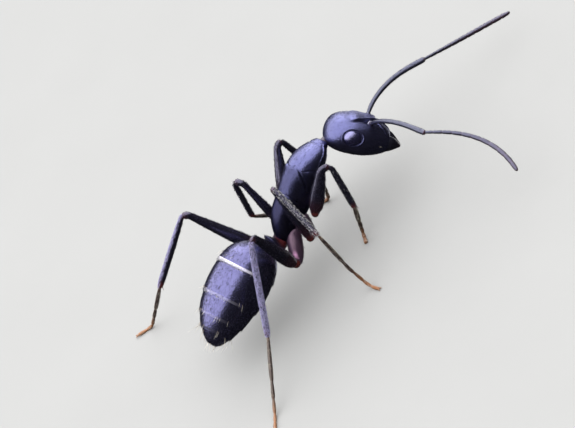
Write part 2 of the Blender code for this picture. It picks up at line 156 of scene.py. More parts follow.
# %% Spline, bell and ramp
def spline(rows, t):
    """Uniform cubic B-spline over control rows; t from 0 to 1. The end rows are met exactly.

    A point at share f between two rows mixes four rows by (1 - f)^3, 3 f^3 - 6 f^2 + 4,
    1 + 3 f + 3 f^2 - 3 f^3 and f^3, over 6.
    """
    rows = np.asarray(rows, float)
    rows = np.vstack([rows[:1], rows[:1], rows, rows[-1:], rows[-1:]])
    u = np.clip(t, 0, 1 - 1e-9) * (len(rows) - 3)
    k = u.astype(int)
    f = (u - k)[:, None]
    return ((1 - f) ** 3 * rows[k] + (3 * f**3 - 6 * f**2 + 4) * rows[k + 1]
            + (-3 * f**3 + 3 * f**2 + 3 * f + 1) * rows[k + 2] + f**3 * rows[k + 3]) / 6


def bell(x, width):
    """Smooth bump: 1 at 0, falling off by exp(-(x / width)^2)."""
    return np.exp(-(x / width) ** 2)


def ramp(x, start, end):
    """Smooth step from 0 at start to 1 at end: 3 t^2 - 2 t^3."""
    t = np.clip((x - start) / (end - start), 0, 1)
    return t * t * (3 - 2 * t)


print("a ramp from 0 to 1 reads", ramp(np.array([0.25, 0.5, 0.75]), 0, 1).round(3))


# %% Rings and closed solids
def ring_angles(sides):
    """Angles of the corners of a ring: 2 pi (k + 1/2) / sides."""
    return 2 * math.pi * (np.arange(sides) + 0.5) / sides


def grid_normals(grid):
    """Outward normals of a grid of rings: the step along crossed with the step round."""
    around = np.roll(grid, -1, axis=1) - np.roll(grid, 1, axis=1)
    normal = unit(np.cross(np.gradient(grid, axis=0), around))
    outward = grid - grid.mean(axis=1, keepdims=True)
    return normal * np.sign((normal * outward).sum())


def solid(grid, tone=0.0):
    """Closed solid over a grid of rings (rings, sides, 3), with a fan on each end, faces outward.

    The signed volume, a sum of a . (b x c) / 6 over triangles, tells whether faces must be turned.
    """
    count, sides, _ = grid.shape
    verts = np.vstack([grid.reshape(-1, 3), grid[0].mean(axis=0), grid[-1].mean(axis=0)])
    ring, here = np.arange(count - 1)[:, None] * sides, np.arange(sides)
    after, upper = (here + 1) % sides, ring + sides
    quads = np.stack([ring + here, ring + after, upper + after, upper + here], axis=-1)
    quads = quads.reshape(-1, 4)
    rim, first = (count - 1) * sides, np.full(sides, count * sides)
    last = first + 1
    fans = np.vstack([np.stack([first, after, here], axis=1),
                      np.stack([last, rim + here, rim + after], axis=1)])
    tris = np.vstack([quads[:, :3], quads[:, [0, 2, 3]], fans])
    a, b, c = (verts[tris[:, k]] for k in range(3))
    if (a * np.cross(b, c)).sum() < 0:
        quads, fans = quads[:, ::-1], fans[:, ::-1]
    tones = np.broadcast_to(np.asarray(tone, float), (count, sides))
    return verts, quads, fans, np.concatenate([tones.ravel(), [tones[0].mean(), tones[-1].mean()]])


# %% Pieces
def new_object(name, verts, faces, tone, finish, nodes=()):
    """Smooth mesh at the origin, in metres, riding on the ant; tone is an attribute of it."""
    mesh = bpy.data.meshes.new(name)
    mesh.from_pydata(((verts + SHIFT) * MM).tolist(), [], faces)
    mesh.polygons.foreach_set("use_smooth", np.ones(len(mesh.polygons), bool))
    mesh.materials.append(finish)
    piece = bpy.data.objects.new(name, mesh)
    bpy.context.scene.collection.objects.link(piece)
    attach(piece, "root")
    if nodes:
        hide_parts(*nodes)
    attribute = mesh.attributes.new("tone", "FLOAT", "POINT")
    attribute.data.foreach_set("value", tone.astype(np.float32))
    print(f"{name}: {sum(len(face) - 2 for face in faces)} triangles")
    return piece


def make(name, solids, finish, nodes=()):
    """One piece from closed solids; tone runs from 0, black, to 1, the finish's warm colour."""
    start, faces = 0, []
    for verts, quads, fans, _ in solids:
        faces += (quads + start).tolist() + (fans + start).tolist()
        start += len(verts)
    verts, tone = np.vstack([s[0] for s in solids]), np.concatenate([s[3] for s in solids])
    new_object(name, verts, faces, tone, finish, nodes)


# %% Forms, and relief on them
class Form:
    """A smooth closed body about its own axis.

    Control rows hold place, half width, top and bottom. A section is an ellipse whose corners are
    filled out a little: across = w cos a (1 + q sin^2 a), up = middle + h sin a (1 + q cos^2 a).
    """

    def __init__(self, rows, fill):
        self.rows, self.fill = rows, fill
        self.steps = np.linspace(0, 1, 4001)
        self.places = spline(rows, self.steps)[:, 0]

    def at(self, place):
        """The spline's own parameter at a place along the axis, read off 4001 places on it."""
        return np.interp(place, self.places, self.steps)

    def local(self, t, angle):
        """Own coordinates at parameter t (rings) and angle (sides); 0 is left, 90 degrees up."""
        place, width, top, bottom = spline(self.rows, t).T[:, :, None]
        cos, sin = np.cos(angle)[None, :], np.sin(angle)[None, :]
        across = width * cos * (1 + self.fill * sin**2)
        upward = (top + bottom) / 2 + (top - bottom) / 2 * sin * (1 + self.fill * cos**2)
        return np.stack([place + 0 * across, across, upward], axis=-1)


def raised(local, relief):
    """A grid moved along its own normals by the heights that relief gives."""
    return local + grid_normals(local) * relief[..., None]


# %% [markdown]
# ## Shader maths
#
# A material is a small program of nodes. Wiring them by hand hides the formula, so a socket is
# wrapped in a class whose operators add the Math nodes, and an expression such as
# `0.3 + 0.2 * noise` reads as what it does. Any other node comes from one method.

# %% Sockets that can be calculated with
class Value:
    """An output socket; arithmetic on it adds Math nodes."""

    def __init__(self, shader, socket):
        self.shader, self.socket = shader, socket

    def math(self, operation, *values):
        """A Math node of that operation on links and numbers."""
        return self.shader.node("ShaderNodeMath", {"operation": operation}, *values)

    # The operators are self + b, self - b, b - self and self x b.

    def __add__(self, other):
        return self.math("ADD", self, other)

    def __sub__(self, other):
        return self.math("SUBTRACT", self, other)

    def __rsub__(self, other):
        return self.math("SUBTRACT", other, self)

    def __mul__(self, other):
        return self.math("MULTIPLY", self, other)

    __radd__ = __add__
    __rmul__ = __mul__


# %% A finish under construction
class Finish:
    """A material under construction, ending in one Principled shader."""

    def __init__(self, name, **constants):
        self.material = bpy.data.materials.new(name)
        self.material.use_nodes = True
        self.tree = self.material.node_tree
        self.principled = self.tree.nodes["Principled BSDF"]
        self.feed(**constants)
        place = self.node("ShaderNodeTexCoord", {}, output="Object")
        self.mm = self.node("ShaderNodeVectorMath", {"operation": "SCALE"}, place, Scale=1 / MM)

    def node(self, kind, settings, *values, output=0, **named):
        """A node of that kind: settings first, then values or links by place or by socket name."""
        node = self.tree.nodes.new(kind)
        for key, value in settings.items():
            setattr(node, key, value)
        for key, value in [*enumerate(values), *named.items()]:
            self.link(node.inputs[key.replace("_", " ") if isinstance(key, str) else key], value)
        return Value(self, node.outputs[output])

    def link(self, socket, value):
        """A wire from another node's output, or a plain value on the socket itself."""
        if isinstance(value, Value):
            self.tree.links.new(value.socket, socket)
        else:
            socket.default_value = value

    def feed(self, **named):
        """Values or links into the Principled shader's sockets."""
        for key, value in named.items():
            self.link(self.principled.inputs[key.replace("_", " ")], value)

    def noise(self, size, detail):
        """Noise between 0 and 1 whose grain is about size millimetres."""
        return self.node("ShaderNodeTexNoise", {}, Vector=self.mm, Scale=1 / size, Detail=detail)

    def cells(self, size):
        """Distance to the nearest of a set of points about size millimetres apart."""
        return self.node("ShaderNodeTexVoronoi", {"feature": "F1"}, Vector=self.mm, Scale=1 / size)

    def attribute(self, name):
        """A number that the mesh keeps at each of its points."""
        return self.node("ShaderNodeAttribute", {"attribute_name": name}, output="Fac")

    def mix(self, factor, first, second):
        """Colour mix: first where factor is 0, second where it is 1."""
        node = self.tree.nodes.new("ShaderNodeMix")
        node.data_type = "RGBA"
        for socket, value in ((0, factor), (6, first), (7, second)):
            self.link(node.inputs[socket], value)
        return Value(self, node.outputs[2])

    def bump(self, height, depth, **normal):
        """Normal from a height between 0 and 1 that stands for depth millimetres.

        Normal=another bump puts this one on top of that.
        """
        return self.node("ShaderNodeBump", {}, Height=height, Distance=depth * MM, Strength=1.0,
                         **normal)

# %% [markdown]
# ## The finishes
#
# Ant armour is a thin clear wax over dark chitin. It is nearly black, and what the eye sees
# outdoors is the sky in it, a satin lavender on the faces that look up. White studio lamps would
# leave that sheen grey, so the sky's colour is given to the reflection itself. A metal would
# mirror and a plain black paint would look dead, so it is a dielectric with a strong reflection,
# tinted violet-blue.
# A net of tiny cells on the head and trunk breaks the light into a satin grain. The gaster is
# smoother. Where the armour is thin, at the joints and the feet, the body shows through russet.
# The tone attribute of a piece says where, and it carries painted light too: a painted highlight,
# pale grey on the rims that hold the feelers, pink on the hind hips and pale on top of the gaster's
# rims, which also have pale margins of their own, and painted shade on the rear of the trunk.

# %% Armour
SKY_BLUE = (0.44, 0.455, 0.98, 1)
BLACK = (0.003, 0.003, 0.005, 1)
VIOLET = (0.009, 0.008, 0.017, 1)
RUSSET = (0.100, 0.018, 0.012, 1)
AMBER = (0.330, 0.130, 0.045, 1)


def armour(name, roughness, grain, depth, warm=RUSSET, lustre=1.0, tint=SKY_BLUE, painted_shade=0.0):
    """Dark chitin: violet-black, warmer where the tone attribute is high, with a net of cells.

    Grain is the size of a cell and depth that of its rim, in millimetres. Lustre and tint are the
    strength and the colour of the sheen. Painted shade takes the sheen away where the tone is high,
    to darken a part: a metal mirrors in its own colour, and that is nearly black here. The
    roughness varies by a tenth with each of two noises, and the surface's height is 0.7 cell + 0.3
    speck over slow waves.
    """
    finish = Finish(name, IOR=1.95, Specular_IOR_Level=lustre, Specular_Tint=tint)
    cloud = finish.noise(0.45, 3.0)
    speck = finish.noise(0.05, 2.0)
    cell = finish.cells(grain)
    tone = finish.attribute("tone")
    dark = finish.mix(cloud, BLACK, VIOLET)
    warmth = finish.node("ShaderNodeClamp", {}, tone * (0.75 + 0.5 * speck))
    finish.feed(Base_Color=finish.mix(warmth, dark, warm),
                Roughness=roughness + 0.10 * (cloud - 0.5) + 0.10 * (speck - 0.5))
    if painted_shade:
        finish.feed(Metallic=tone * painted_shade)
    waves = finish.bump(cloud, 0.020)
    finish.feed(Normal=finish.bump(cell * 0.7 + speck * 0.3, depth, Normal=waves))
    return finish.material


# %% Armour of each part
BODY = armour("satin_armour", 0.30, 0.055, 0.0085)
# The trunk's finish carries painted shade: where its tone is high it turns to a near-black violet
# metal and loses its sheen.
HUMP = armour("trunk_armour_shade_painted", 0.30, 0.055, 0.0085, warm=VIOLET, painted_shade=1.0)
# The gaster's pale rim colour is partly the plates' own pale margins and partly a painted
# highlight.
GLOSS = armour("gaster_armour", 0.25, 0.060, 0.0045, warm=(0.920, 0.880, 1.000, 1),
               tint=(0.49, 0.475, 0.98, 1))
JAW = armour("jaw_armour", 0.30, 0.040, 0.0040, lustre=0.35, tint=(0.80, 0.80, 0.90, 1))
SCALE = armour("scale_armour", 0.34, 0.045, 0.0040, warm=(0.110, 0.018, 0.012, 1), lustre=0.30,
               tint=(0.50, 0.50, 0.95, 1))
NECK = armour("neck_skin", 0.45, 0.030, 0.0050, warm=(0.090, 0.045, 0.065, 1), lustre=0.50,
              tint=(0.90, 0.80, 0.95, 1))
# The hips' pink colour and pink sheen are a painted highlight.
HIP = armour("hip_armour_painted_highlight", 0.32, 0.045, 0.0040, warm=(0.700, 0.360, 0.600, 1), lustre=0.32,
             tint=(0.92, 0.62, 0.80, 1))
LIMB = armour("limb_armour", 0.25, 0.040, 0.0040, lustre=0.42, tint=(0.66, 0.62, 0.90, 1))
SHIN = armour("shin_armour", 0.30, 0.040, 0.0040, lustre=0.22, tint=(0.66, 0.62, 0.95, 1))
FOOT = armour("foot_armour", 0.42, 0.035, 0.0030, warm=AMBER, lustre=0.30,
              tint=(1.00, 0.90, 0.80, 1))
FEELER = armour("feeler_armour", 0.36, 0.035, 0.0040, lustre=0.55, tint=(0.62, 0.64, 0.92, 1))
# The socket rims' flat pale grey is a painted highlight.
PALE_SOCKET_HIGHLIGHT = armour("socket_rim_painted_highlight", 0.38, 0.030, 0.0030, warm=(0.300, 0.290, 0.330, 1), lustre=0.60)
armour_finishes = (BODY, HUMP, GLOSS, JAW, SCALE, NECK, HIP, LIMB, SHIN, FOOT, FEELER, PALE_SOCKET_HIGHLIGHT)
print("finishes of the armour:", ", ".join(material.name for material in armour_finishes))


# %% Finishes of eye and hair
def eye_glaze():
    """Clear lenses over a navy-black eye: two dark blues mixed by one cloudy noise."""
    # The reflection's blue tint is the sky's colour painted into it, as on the armour.
    finish = Finish("eye_lenses", IOR=2.2, Specular_IOR_Level=1.0,
                    Specular_Tint=(0.60, 0.58, 1.0, 1))
    cloud = finish.noise(0.12, 2.0)
    finish.feed(Base_Color=finish.mix(cloud, (0.004, 0.004, 0.012, 1), (0.010, 0.009, 0.030, 1)),
                Roughness=0.20 + 0.08 * cloud)
    return finish.material


def bristle(name, root, tip, roughness=0.35, lustre=0.6):
    """Stiff hair: the root's colour at tone 0, the tip's at tone 1, mixed along it."""
    finish = Finish(name, Specular_IOR_Level=lustre)
    tone = finish.attribute("tone")
    grain = finish.noise(0.03, 1.0)
    finish.feed(Base_Color=finish.mix(tone, root, tip), Roughness=roughness + 0.2 * (grain - 0.5))
    return finish.material


EYE = eye_glaze()
GOLD = bristle("golden_bristles", (0.24, 0.18, 0.12, 1), (1.0, 0.96, 0.84, 1))
SILVER = bristle("silver_hair", (0.04, 0.04, 0.05, 1), (1.0, 0.98, 1.0, 1))
DOWN = bristle("dark_down", (0.005, 0.005, 0.008, 1), (0.045, 0.042, 0.07, 1), 0.5, 0.15)
# The shin down's lavender colour is a painted reflection of the sky.
SKY_TINTED_FROST = bristle("shin_down_sky_tinted", (0.27, 0.25, 0.48, 1), (0.66, 0.62, 0.94, 1))
hair_finishes = (GOLD, SILVER, DOWN, SKY_TINTED_FROST)
print("finishes of the hair:", ", ".join(material.name for material in hair_finishes))

# %% [markdown]
# ## The head
#
# The head capsule is an egg with its face down. It could be sculpted; here it is a lofted form,
# and each feature is a height added along the surface's normal, written as a formula: the ring
# groove that the eye sits in, the raised brow between two ridges that part from the face's shield
# toward the eyes, the pits that hold the feelers, and the shield above the jaws with its keel.
# The heights are small: a tenth of a millimetre is already a strong fold on a head this size.

# %% Head capsule
HEAD_ROWS = [(HEAD_LENGTH * (share - 0.5), width, top, bottom) for share, width, top, bottom in (
    (0.000, 0.00, -0.04, -0.04),
    (0.000, 0.22, 0.16, -0.25),
    (0.020, 0.47, 0.38, -0.46),
    (0.070, 0.75, 0.63, -0.65),
    (0.160, 0.97, 0.83, -0.79),
    (0.320, 1.09, 0.95, -0.87),
    (0.500, 1.07, 0.97, -0.90),
    (0.660, 0.99, 0.93, -0.88),
    (0.800, 0.87, 0.79, -0.78),
    (0.900, 0.76, 0.64, -0.67),
    (0.970, 0.64, 0.45, -0.55),
    (0.995, 0.46, 0.25, -0.40),
    (0.995, 0.00, -0.08, -0.08),
)]
head_form = Form(HEAD_ROWS, fill=0.033)
head_widths = spline(HEAD_ROWS, head_form.steps)[:, 1]
print("the head is", round(2 * float(head_widths.max()), 2), "mm wide")


# %% Rings round the eyes
def eye_axes(sign):
    """Centre and own directions of an eye; sign is +1 left, -1 right.

    Out is (0, sign cos tilt, sin tilt), forward is along the head, and across is out x forward.
    """
    along, out, up = EYE_SEAT
    tilt = math.radians(EYE_TILT)
    outward = np.array([0.0, sign * math.cos(tilt), math.sin(tilt)])
    forward = np.array([1.0, 0.0, 0.0])
    return np.array([along, sign * out, up]), outward, forward, np.cross(outward, forward)


def eye_rings(local):
    """Rim at 1.16 of the eye's half size, groove at 1.02, and a dish inside for the eye itself."""
    heights = np.zeros(local.shape[:2])
    for sign in SIDES.values():
        centre, outward, forward, across = eye_axes(sign)
        offset = local - centre
        near = ramp(offset @ outward, -0.25, 0.05)
        span = np.hypot(offset @ forward / EYE_SIZE[0], offset @ across / EYE_SIZE[2])
        rim, groove = 0.006 * bell(span - 1.16, 0.10), 0.045 * bell(span - 1.02, 0.045)
        heights += near * (rim - groove - 0.16 * (1 - ramp(span, 0.70, 1.0)))
    return heights


# %% Face
def face_heights(local):
    """Brow, ridges, pits, midline and shield: bells and ramps of the place along, side and up."""
    along, side, up = local[..., 0], np.abs(local[..., 1]), local[..., 2]
    top = ramp(up, 0.15, 0.5)
    # The brow is a plateau between two ridges, with a valley outside each of them.
    ridge_line = 0.15 + 0.30 * ramp(along, 0.62, -0.62) + 0.03 * np.sin((along + 0.1) * 4.0)
    ridge_span = ramp(along, -0.70, -0.30) * ramp(along, 0.78, 0.55)
    between = ramp(side - ridge_line, 0.045, -0.045)
    brow = 0.055 + 0.055 * ramp(along, 0.0, 0.55)
    ridge = 0.035 * bell(side - ridge_line, 0.045)
    valley = 0.050 * bell(side - ridge_line - 0.085, 0.055)
    heights = top * ridge_span * (brow * between + ridge - valley)
    # A pit beside the brow holds each feeler, and a fine line runs down the middle.
    pit = bell(np.hypot((along - 0.24) / 0.24, (side - 0.36) / 0.13), 1.0)
    heights -= top * 0.10 * pit * (1 - between)
    heights -= top * 0.010 * bell(side, 0.022) * ramp(along, -0.9, -0.4) * ramp(along, 0.62, 0.5)
    # The shield above the jaws is raised, with a keel, and its rear edge is a curved groove.
    shield_edge = 0.62 + 0.55 * (side / 0.55) ** 2
    shield = ramp(along, shield_edge - 0.02, shield_edge + 0.14) * ramp(side, 0.60, 0.50) * top
    heights += shield * (0.030 + 0.035 * bell(side, 0.06))
    heights -= top * 0.028 * bell(along - shield_edge, 0.028) * ramp(side, 0.62, 0.5)
    # A shallow seam runs along the middle of the throat.
    heights -= 0.018 * bell(side, 0.03) * ramp(up, -0.4, -0.7) * ramp(along, -1.3, -1.1)
    return heights


head_local = head_form.local(np.linspace(0, 1, 300)[1:-1], ring_angles(288))
head_local = raised(head_local, eye_rings(head_local) + face_heights(head_local))
HEAD_SKIN = HEAD.place(head_local)
make("head_capsule", [solid(HEAD_SKIN)], BODY, ["head"])

# %% [markdown]
# ## The compound eyes
#
# Each eye is a dome of several hundred lenses. A bump map would do for a smooth eye, but close to
# it the rim shows the lenses in profile. The lens centres are set on a sunflower spiral, whose
# neighbours lie almost like a honeycomb, and each point of a fine dome is raised by how near it
# is to its closest centre.

# %% Lens centres
LENSES = 640
GOLDEN_ANGLE = math.pi * (3 - math.sqrt(5))
LENS_DEPTH = 1.05           # how far down the ball the lenses reach, in radii
lens_height = 1 - LENS_DEPTH * (np.arange(LENSES) + 0.5) / LENSES
lens_turn = GOLDEN_ANGLE * np.arange(LENSES)
lens_reach = np.sqrt(1 - lens_height**2)
lens_centres = np.stack([lens_height, lens_reach * np.cos(lens_turn),
                         lens_reach * np.sin(lens_turn)], axis=-1)
LENS_PITCH = math.sqrt(2 * math.pi * LENS_DEPTH / LENSES)
print("lenses are", round(LENS_PITCH * EYE_SIZE[0] * 1000), "thousandths of a millimetre apart")


# %% Eyes
def build_eye(side):
    """Ellipsoid p = (d sin t, l cos t cos a, h cos t sin a) plus a low dome over each lens.

    The nearest centre has the greatest dot product m, and its distance is the root of 2 - 2 m.
    """
    centre, outward, forward, across = eye_axes(SIDES[side])
    tilt = np.linspace(-0.49, 0.5, 150) * math.pi
    angle = ring_angles(190)
    cos, sin = np.cos(tilt)[:, None], np.sin(tilt)[:, None]
    ball = np.stack([sin + 0 * angle, cos * np.cos(angle), cos * np.sin(angle)], axis=-1)
    closest = (ball.reshape(-1, 3) @ lens_centres.T).max(axis=1).reshape(ball.shape[:2])
    distance = np.sqrt(np.maximum(2 - 2 * closest, 0))
    dome = 0.0045 * np.clip(1 - (distance / (0.62 * LENS_PITCH)) ** 2, 0, 1)
    dome = dome * ramp(ball[..., 0], -0.1, 0.05)
    size = np.array([EYE_SIZE[1] + 0.035, EYE_SIZE[0], EYE_SIZE[2]]) - 0.006
    offset = (ball * (size + dome[..., None])) @ np.array([outward, forward, across])
    local = centre + 0.03 * outward + offset
    make(f"lens_dome_{side}", [solid(HEAD.place(local))], EYE, [f"eye_{side}"])


for side in SIDES:
    build_eye(side)

# %% [markdown]
# ## The trunk
#
# Three plates are fused into one smooth arch behind the head. They could be three meshes, but the
# real joints between them are only fine furrows, so one skin carries them as grooves, with the
# collar's rim in front, a breathing hole on each side and shallow hollows over the legs.

# %% Trunk form
TRUNK_ROWS = [              # place, half width, top, bottom
    (-0.04, 0.00, 0.02, 0.02),
    (-0.04, 0.22, 0.24, -0.20),
    (0.05, 0.36, 0.44, -0.34),
    (0.30, 0.46, 0.68, -0.42),
    (0.75, 0.56, 1.03, -0.50),
    (1.30, 0.62, 1.18, -0.56),
    (1.95, 0.65, 1.17, -0.62),
    (2.60, 0.73, 1.27, -0.64),
    (3.25, 0.78, 1.26, -0.62),
    (3.75, 0.84, 1.13, -0.55),
    (4.25, 0.75, 0.83, -0.43),
    (4.60, 0.53, 0.50, -0.31),
    (4.86, 0.34, 0.30, -0.26),
    (4.88, 0.22, 0.18, -0.16),
    (4.88, 0.00, 0.00, 0.00),
]
trunk_form = Form(TRUNK_ROWS, fill=0.048)
print("the trunk runs from", TRUNK_ROWS[0][0], "to", TRUNK_ROWS[-1][0], "mm along its own axis")


# %% Furrows, holes and hollows
def trunk_heights(local):
    """Bells for furrows and rims, and ramps that end them, of the place along, side and up."""
    along, side, up = local[..., 0], np.abs(local[..., 1]), local[..., 2]
    above = ramp(up, -0.30, 0.0)
    # The first plate ends in a furrow that slants over the top, with a rim behind it, and a finer
    # furrow crosses its flank.
    shield = along - (2.15 + 1.07 * up - 0.23 * ramp(up, 1.13, 1.26))
    inside = ramp(up, 0.15, 0.40)
    heights = inside * (0.022 * bell(shield + 0.13, 0.09) - 0.055 * bell(shield, 0.038))
    collar = 3.20 + 0.30 * ramp(up, 1.15, 0.2) - 0.10 * ramp(up, 0.3, -0.3)
    heights -= 0.030 * above * bell(along - collar, 0.035) * ramp(up, 1.0, 0.7)
    # Two more furrows part the middle plate from the rear one and from the plate under it.
    rear = 1.98 - 0.16 * ramp(up, 1.1, 0.3)
    heights -= 0.030 * above * bell(along - rear, 0.040)
    slant = 2.55 - 0.45 * (up + 0.1)
    flank = ramp(side, 0.35, 0.6) * ramp(up, 0.55, 0.35) * ramp(up, -0.5, -0.35)
    heights -= 0.030 * flank * bell(along - slant, 0.035) * ramp(along, 1.9, 2.1)
    # One long furrow runs above the legs.
    low_furrow = 0.035 * ramp(side, 0.3, 0.5) * bell(up + 0.30 + 0.05 * along, 0.05)
    heights -= low_furrow * ramp(along, 0.4, 0.8) * ramp(along, 4.4, 4.0)
    # A breathing hole opens on each side at the rear.
    hole = np.hypot((along - 0.85) / 0.10, (up - 0.42) / 0.055)
    heights += ramp(side, 0.3, 0.45) * (0.018 * bell(hole - 1.0, 0.35) - 0.04 * bell(hole, 0.7))
    # The first plate's lower margin and the collar in front of it are raised rims.
    margin = 0.17 + 0.10 * bell(along - 3.9, 0.3)
    front = ramp(along, 3.45, 3.75) * ramp(along, 4.80, 4.66) * ramp(side, 0.15, 0.30)
    step = 0.050 * ramp(up, margin - 0.02, margin - 0.12)
    heights += front * (0.030 * bell(up - margin, 0.035) - step)
    heights += 0.012 * bell(along - 4.70, 0.03)
    heights -= 0.020 * bell(along - 4.62, 0.03) * ramp(up, -0.1, 0.2)
    # The trunk is hollowed a little over each leg.
    for seat, low in ((3.72, -0.42), (1.55, -0.50), (0.75, -0.42)):
        hollow = bell(np.hypot((along - seat) / 0.34, (up - low) / 0.22), 1.0)
        heights -= 0.05 * hollow * ramp(side, 0.2, 0.4)
    return heights


# %% Trunk skin
trunk_local = trunk_form.local(np.linspace(0, 1, 330)[1:-1], ring_angles(200))
trunk_local = raised(trunk_local, trunk_heights(trunk_local))
TRUNK_SKIN = TRUNK.place(trunk_local)
trunk_place = trunk_local[..., 0]
# Painted shade: behind about 3.2 mm along, and more behind about 1.8 mm, the trunk's sheen is taken
# away, so its rear is darker.
painted_trunk_shade = 0.55 * ramp(trunk_place, 3.35, 3.15) + 0.27 * ramp(trunk_place, 2.10, 1.60)
make("trunk_armour", [solid(TRUNK_SKIN, painted_trunk_shade)], HUMP,
     ["pronotum", "mesothorax", "propodeum"])

# %% [markdown]
# ## The waist scale and the neck
#
# The waist is a short stalk that carries one upright scale, thick below and rounded above, which
# lets the gaster swing. The neck is a soft ringed tube. Both are small lofts of their own.

# %% Waist scale
WAIST_ROWS = [              # place, half width, top, bottom, with heights above the floor
    (0.02, 0.00, 2.55, 2.55),
    (0.02, 0.16, 2.70, 2.40),
    (0.10, 0.23, 2.78, 2.32),
    (0.30, 0.30, 2.86, 2.24),
    (0.46, 0.38, 3.08, 2.20),
    (0.56, 0.47, 3.41, 2.18),
    (0.64, 0.47, 3.41, 2.18),
    (0.74, 0.38, 3.10, 2.20),
    (0.92, 0.28, 2.90, 2.26),
    (1.25, 0.24, 2.84, 2.34),
    (1.32, 0.16, 2.72, 2.44),
    (1.32, 0.00, 2.58, 2.58),
]
waist_form = Form(WAIST_ROWS, fill=0.03)
waist_local = waist_form.local(np.linspace(0, 1, 120)[1:-1], ring_angles(96))
waist_relief = -0.02 * bell(waist_local[..., 0] - 0.33, 0.03) * ramp(waist_local[..., 2], 2.3, 2.6)
waist_tone = 0.85 * ramp(waist_local[..., 2], 3.1, 2.7) * ramp(waist_local[..., 0], 0.60, 0.35)
WAIST_SKIN = WAIST.place(raised(waist_local, waist_relief))
make("waist_scale", [solid(WAIST_SKIN, waist_tone)], SCALE, ["petiole"])


# %% Neck
def tube(route, wide, high, plane, sides=32):
    """Rings route + wide cos a side + high sin a over, where side is square to plane and step."""
    step = unit(np.gradient(route, axis=0))
    side = unit(np.cross(plane, step))[:, None]
    over = np.cross(step, side[:, 0])[:, None]
    angle = ring_angles(sides)[None, :, None]
    wide, high = (np.broadcast_to(radius, len(route))[:, None, None] for radius in (wide, high))
    return route[:, None] + wide * np.cos(angle) * side + high * np.sin(angle) * over


collar = TRUNK.place((TRUNK_LENGTH - 0.22, 0, 0.02))
nape = HEAD.place((-HEAD_LENGTH / 2 + 0.30, 0, -0.34))
neck_share = np.linspace(0, 1, 60)
neck_route = collar + (nape - collar) * neck_share[:, None]
NECK_RINGS = 7
neck_radius = 0.22 - 0.06 * neck_share + 0.007 * np.sin(neck_share * 2 * math.pi * NECK_RINGS)
neck_grid = tube(neck_route, neck_radius, neck_radius, (0, 1, 0.2))
neck_tone = ramp(unit(neck_grid - neck_route[:, None]) @ HEAD.up, 0.75, -0.1)
make("neck_tube", [solid(neck_grid, neck_tone)], NECK, ["neck"])

# %% [markdown]
# ## The gaster
#
# The gaster is a stack of hoops, each with its rear rim lapped over the next one's front, like
# roof tiles. A single smooth egg with painted lines would lose that step, which catches the light
# as a bright band; the band is also painted, as a pale highlight on top of the first rims. So each
# hoop is a closed plate of its own: its profile starts tucked under the hoop before it, swells to
# full size, and turns in at a thin rolled rim.

# %% Gaster form
GASTER_ROWS = [(place, width, axis + high, axis - high) for place, width, axis, high in (
    (0.00, 0.00, 0.00, 0.00),
    (0.00, 0.34, 0.00, 0.34),
    (0.10, 0.70, 0.01, 0.72),
    (0.44, 1.08, 0.09, 1.10),
    (0.94, 1.31, 0.16, 1.34),
    (1.82, 1.43, 0.16, 1.48),
    (2.77, 1.35, 0.20, 1.40),
    (3.60, 1.16, 0.22, 1.20),
    (4.20, 0.92, 0.17, 0.95),
    (4.74, 0.58, 0.08, 0.60),
    (5.00, 0.30, 0.02, 0.31),
    (5.05, 0.14, 0.00, 0.14),
    (5.05, 0.00, 0.00, 0.00),
)]
gaster_form = Form(GASTER_ROWS, fill=0.0)
print("the gaster is", round(2 * max(row[1] for row in GASTER_ROWS), 2), "mm wide at most")

# %% Gaster plates
RIM_RADIUS = 0.016
OVERLAP = 0.16              # how far a plate reaches under the one before it
# A rim's paleness is its own pale margin and, on top, a painted highlight.
RIM_TONES = {1: 1.0, 2: 0.14, 3: 0.08, 4: 0.05, 5: 0.0}     # how pale each plate's rear rim is
GASTER_PLATES = {}


def rolled_rim(edge, inward):
    """Rings on a half circle p = edge + r (inward (1 - cos a) + back sin a), then two inside."""
    back = np.array([1.0, 0.0, 0.0])
    turns = np.linspace(0, math.pi, 7)[1:, None, None]
    rolled = edge + RIM_RADIUS * (inward * (1 - np.cos(turns)) + back * np.sin(turns))
    inside = rolled[-1] - back * 0.10 + inward * np.array([0.02, 0.10])[:, None, None]
    return [rolled, inside]


def build_plate(number, start, end):
    """Hoop from start to end: base surface minus a tuck at its front, with a rolled rear rim."""
    first, last = number == 1, number == len(RIM_TONES)
    front = 0.0 if first else float(gaster_form.at(start - OVERLAP))
    rear = 1.0 if last else float(gaster_form.at(end))
    count = int(24 + 62 * (end - start))                    # rings before the rolled rim
    if last:
        t = np.linspace(front, rear, count + 2)[1:-1]
    else:
        t = np.linspace(front, rear, count)[1 if first else 0:]
    local = gaster_form.local(t, ring_angles(232))
    place = local[..., 0]
    tuck = 0.032 * ramp(place, end, start) + 0.040 * ramp(place, start + 0.01, start - 0.05)
    flare = 0.010 * ramp(place, end - 0.25, end - 0.02)
    grid = raised(local, (0.0 if last else flare) - (0.0 if first else tuck))
    if not last:
        grid = np.concatenate([grid, *rolled_rim(grid[-1], -grid_normals(grid)[-1])])
    GASTER_PLATES[number] = GASTER.place(grid[:count])
    # Painted highlight: the pale rim fades from the top down the sides, where the light falls off.
    at_rim = ramp(grid[..., 0], end - 0.13, end - 0.09)
    tone = RIM_TONES[number] * at_rim * ramp(grid[..., 2], 0.2, 1.5)
    make(f"gaster_plate_{number}", [solid(GASTER.place(grid), tone)], GLOSS,
         [f"gaster_segment_{number}"])


gaster_edges = (0.0, *GASTER_SUTURES, GASTER_LENGTH)
for number, (start, end) in enumerate(zip(gaster_edges, gaster_edges[1:]), 1):
    build_plate(number, start, end)

# %% [markdown]
# ## Jaws
#
# Two closed jaws meet under the face in one blunt point. Each is a curved wedge whose inner edge
# carries teeth, and a loft whose inner side moves in and out along its length gives both.

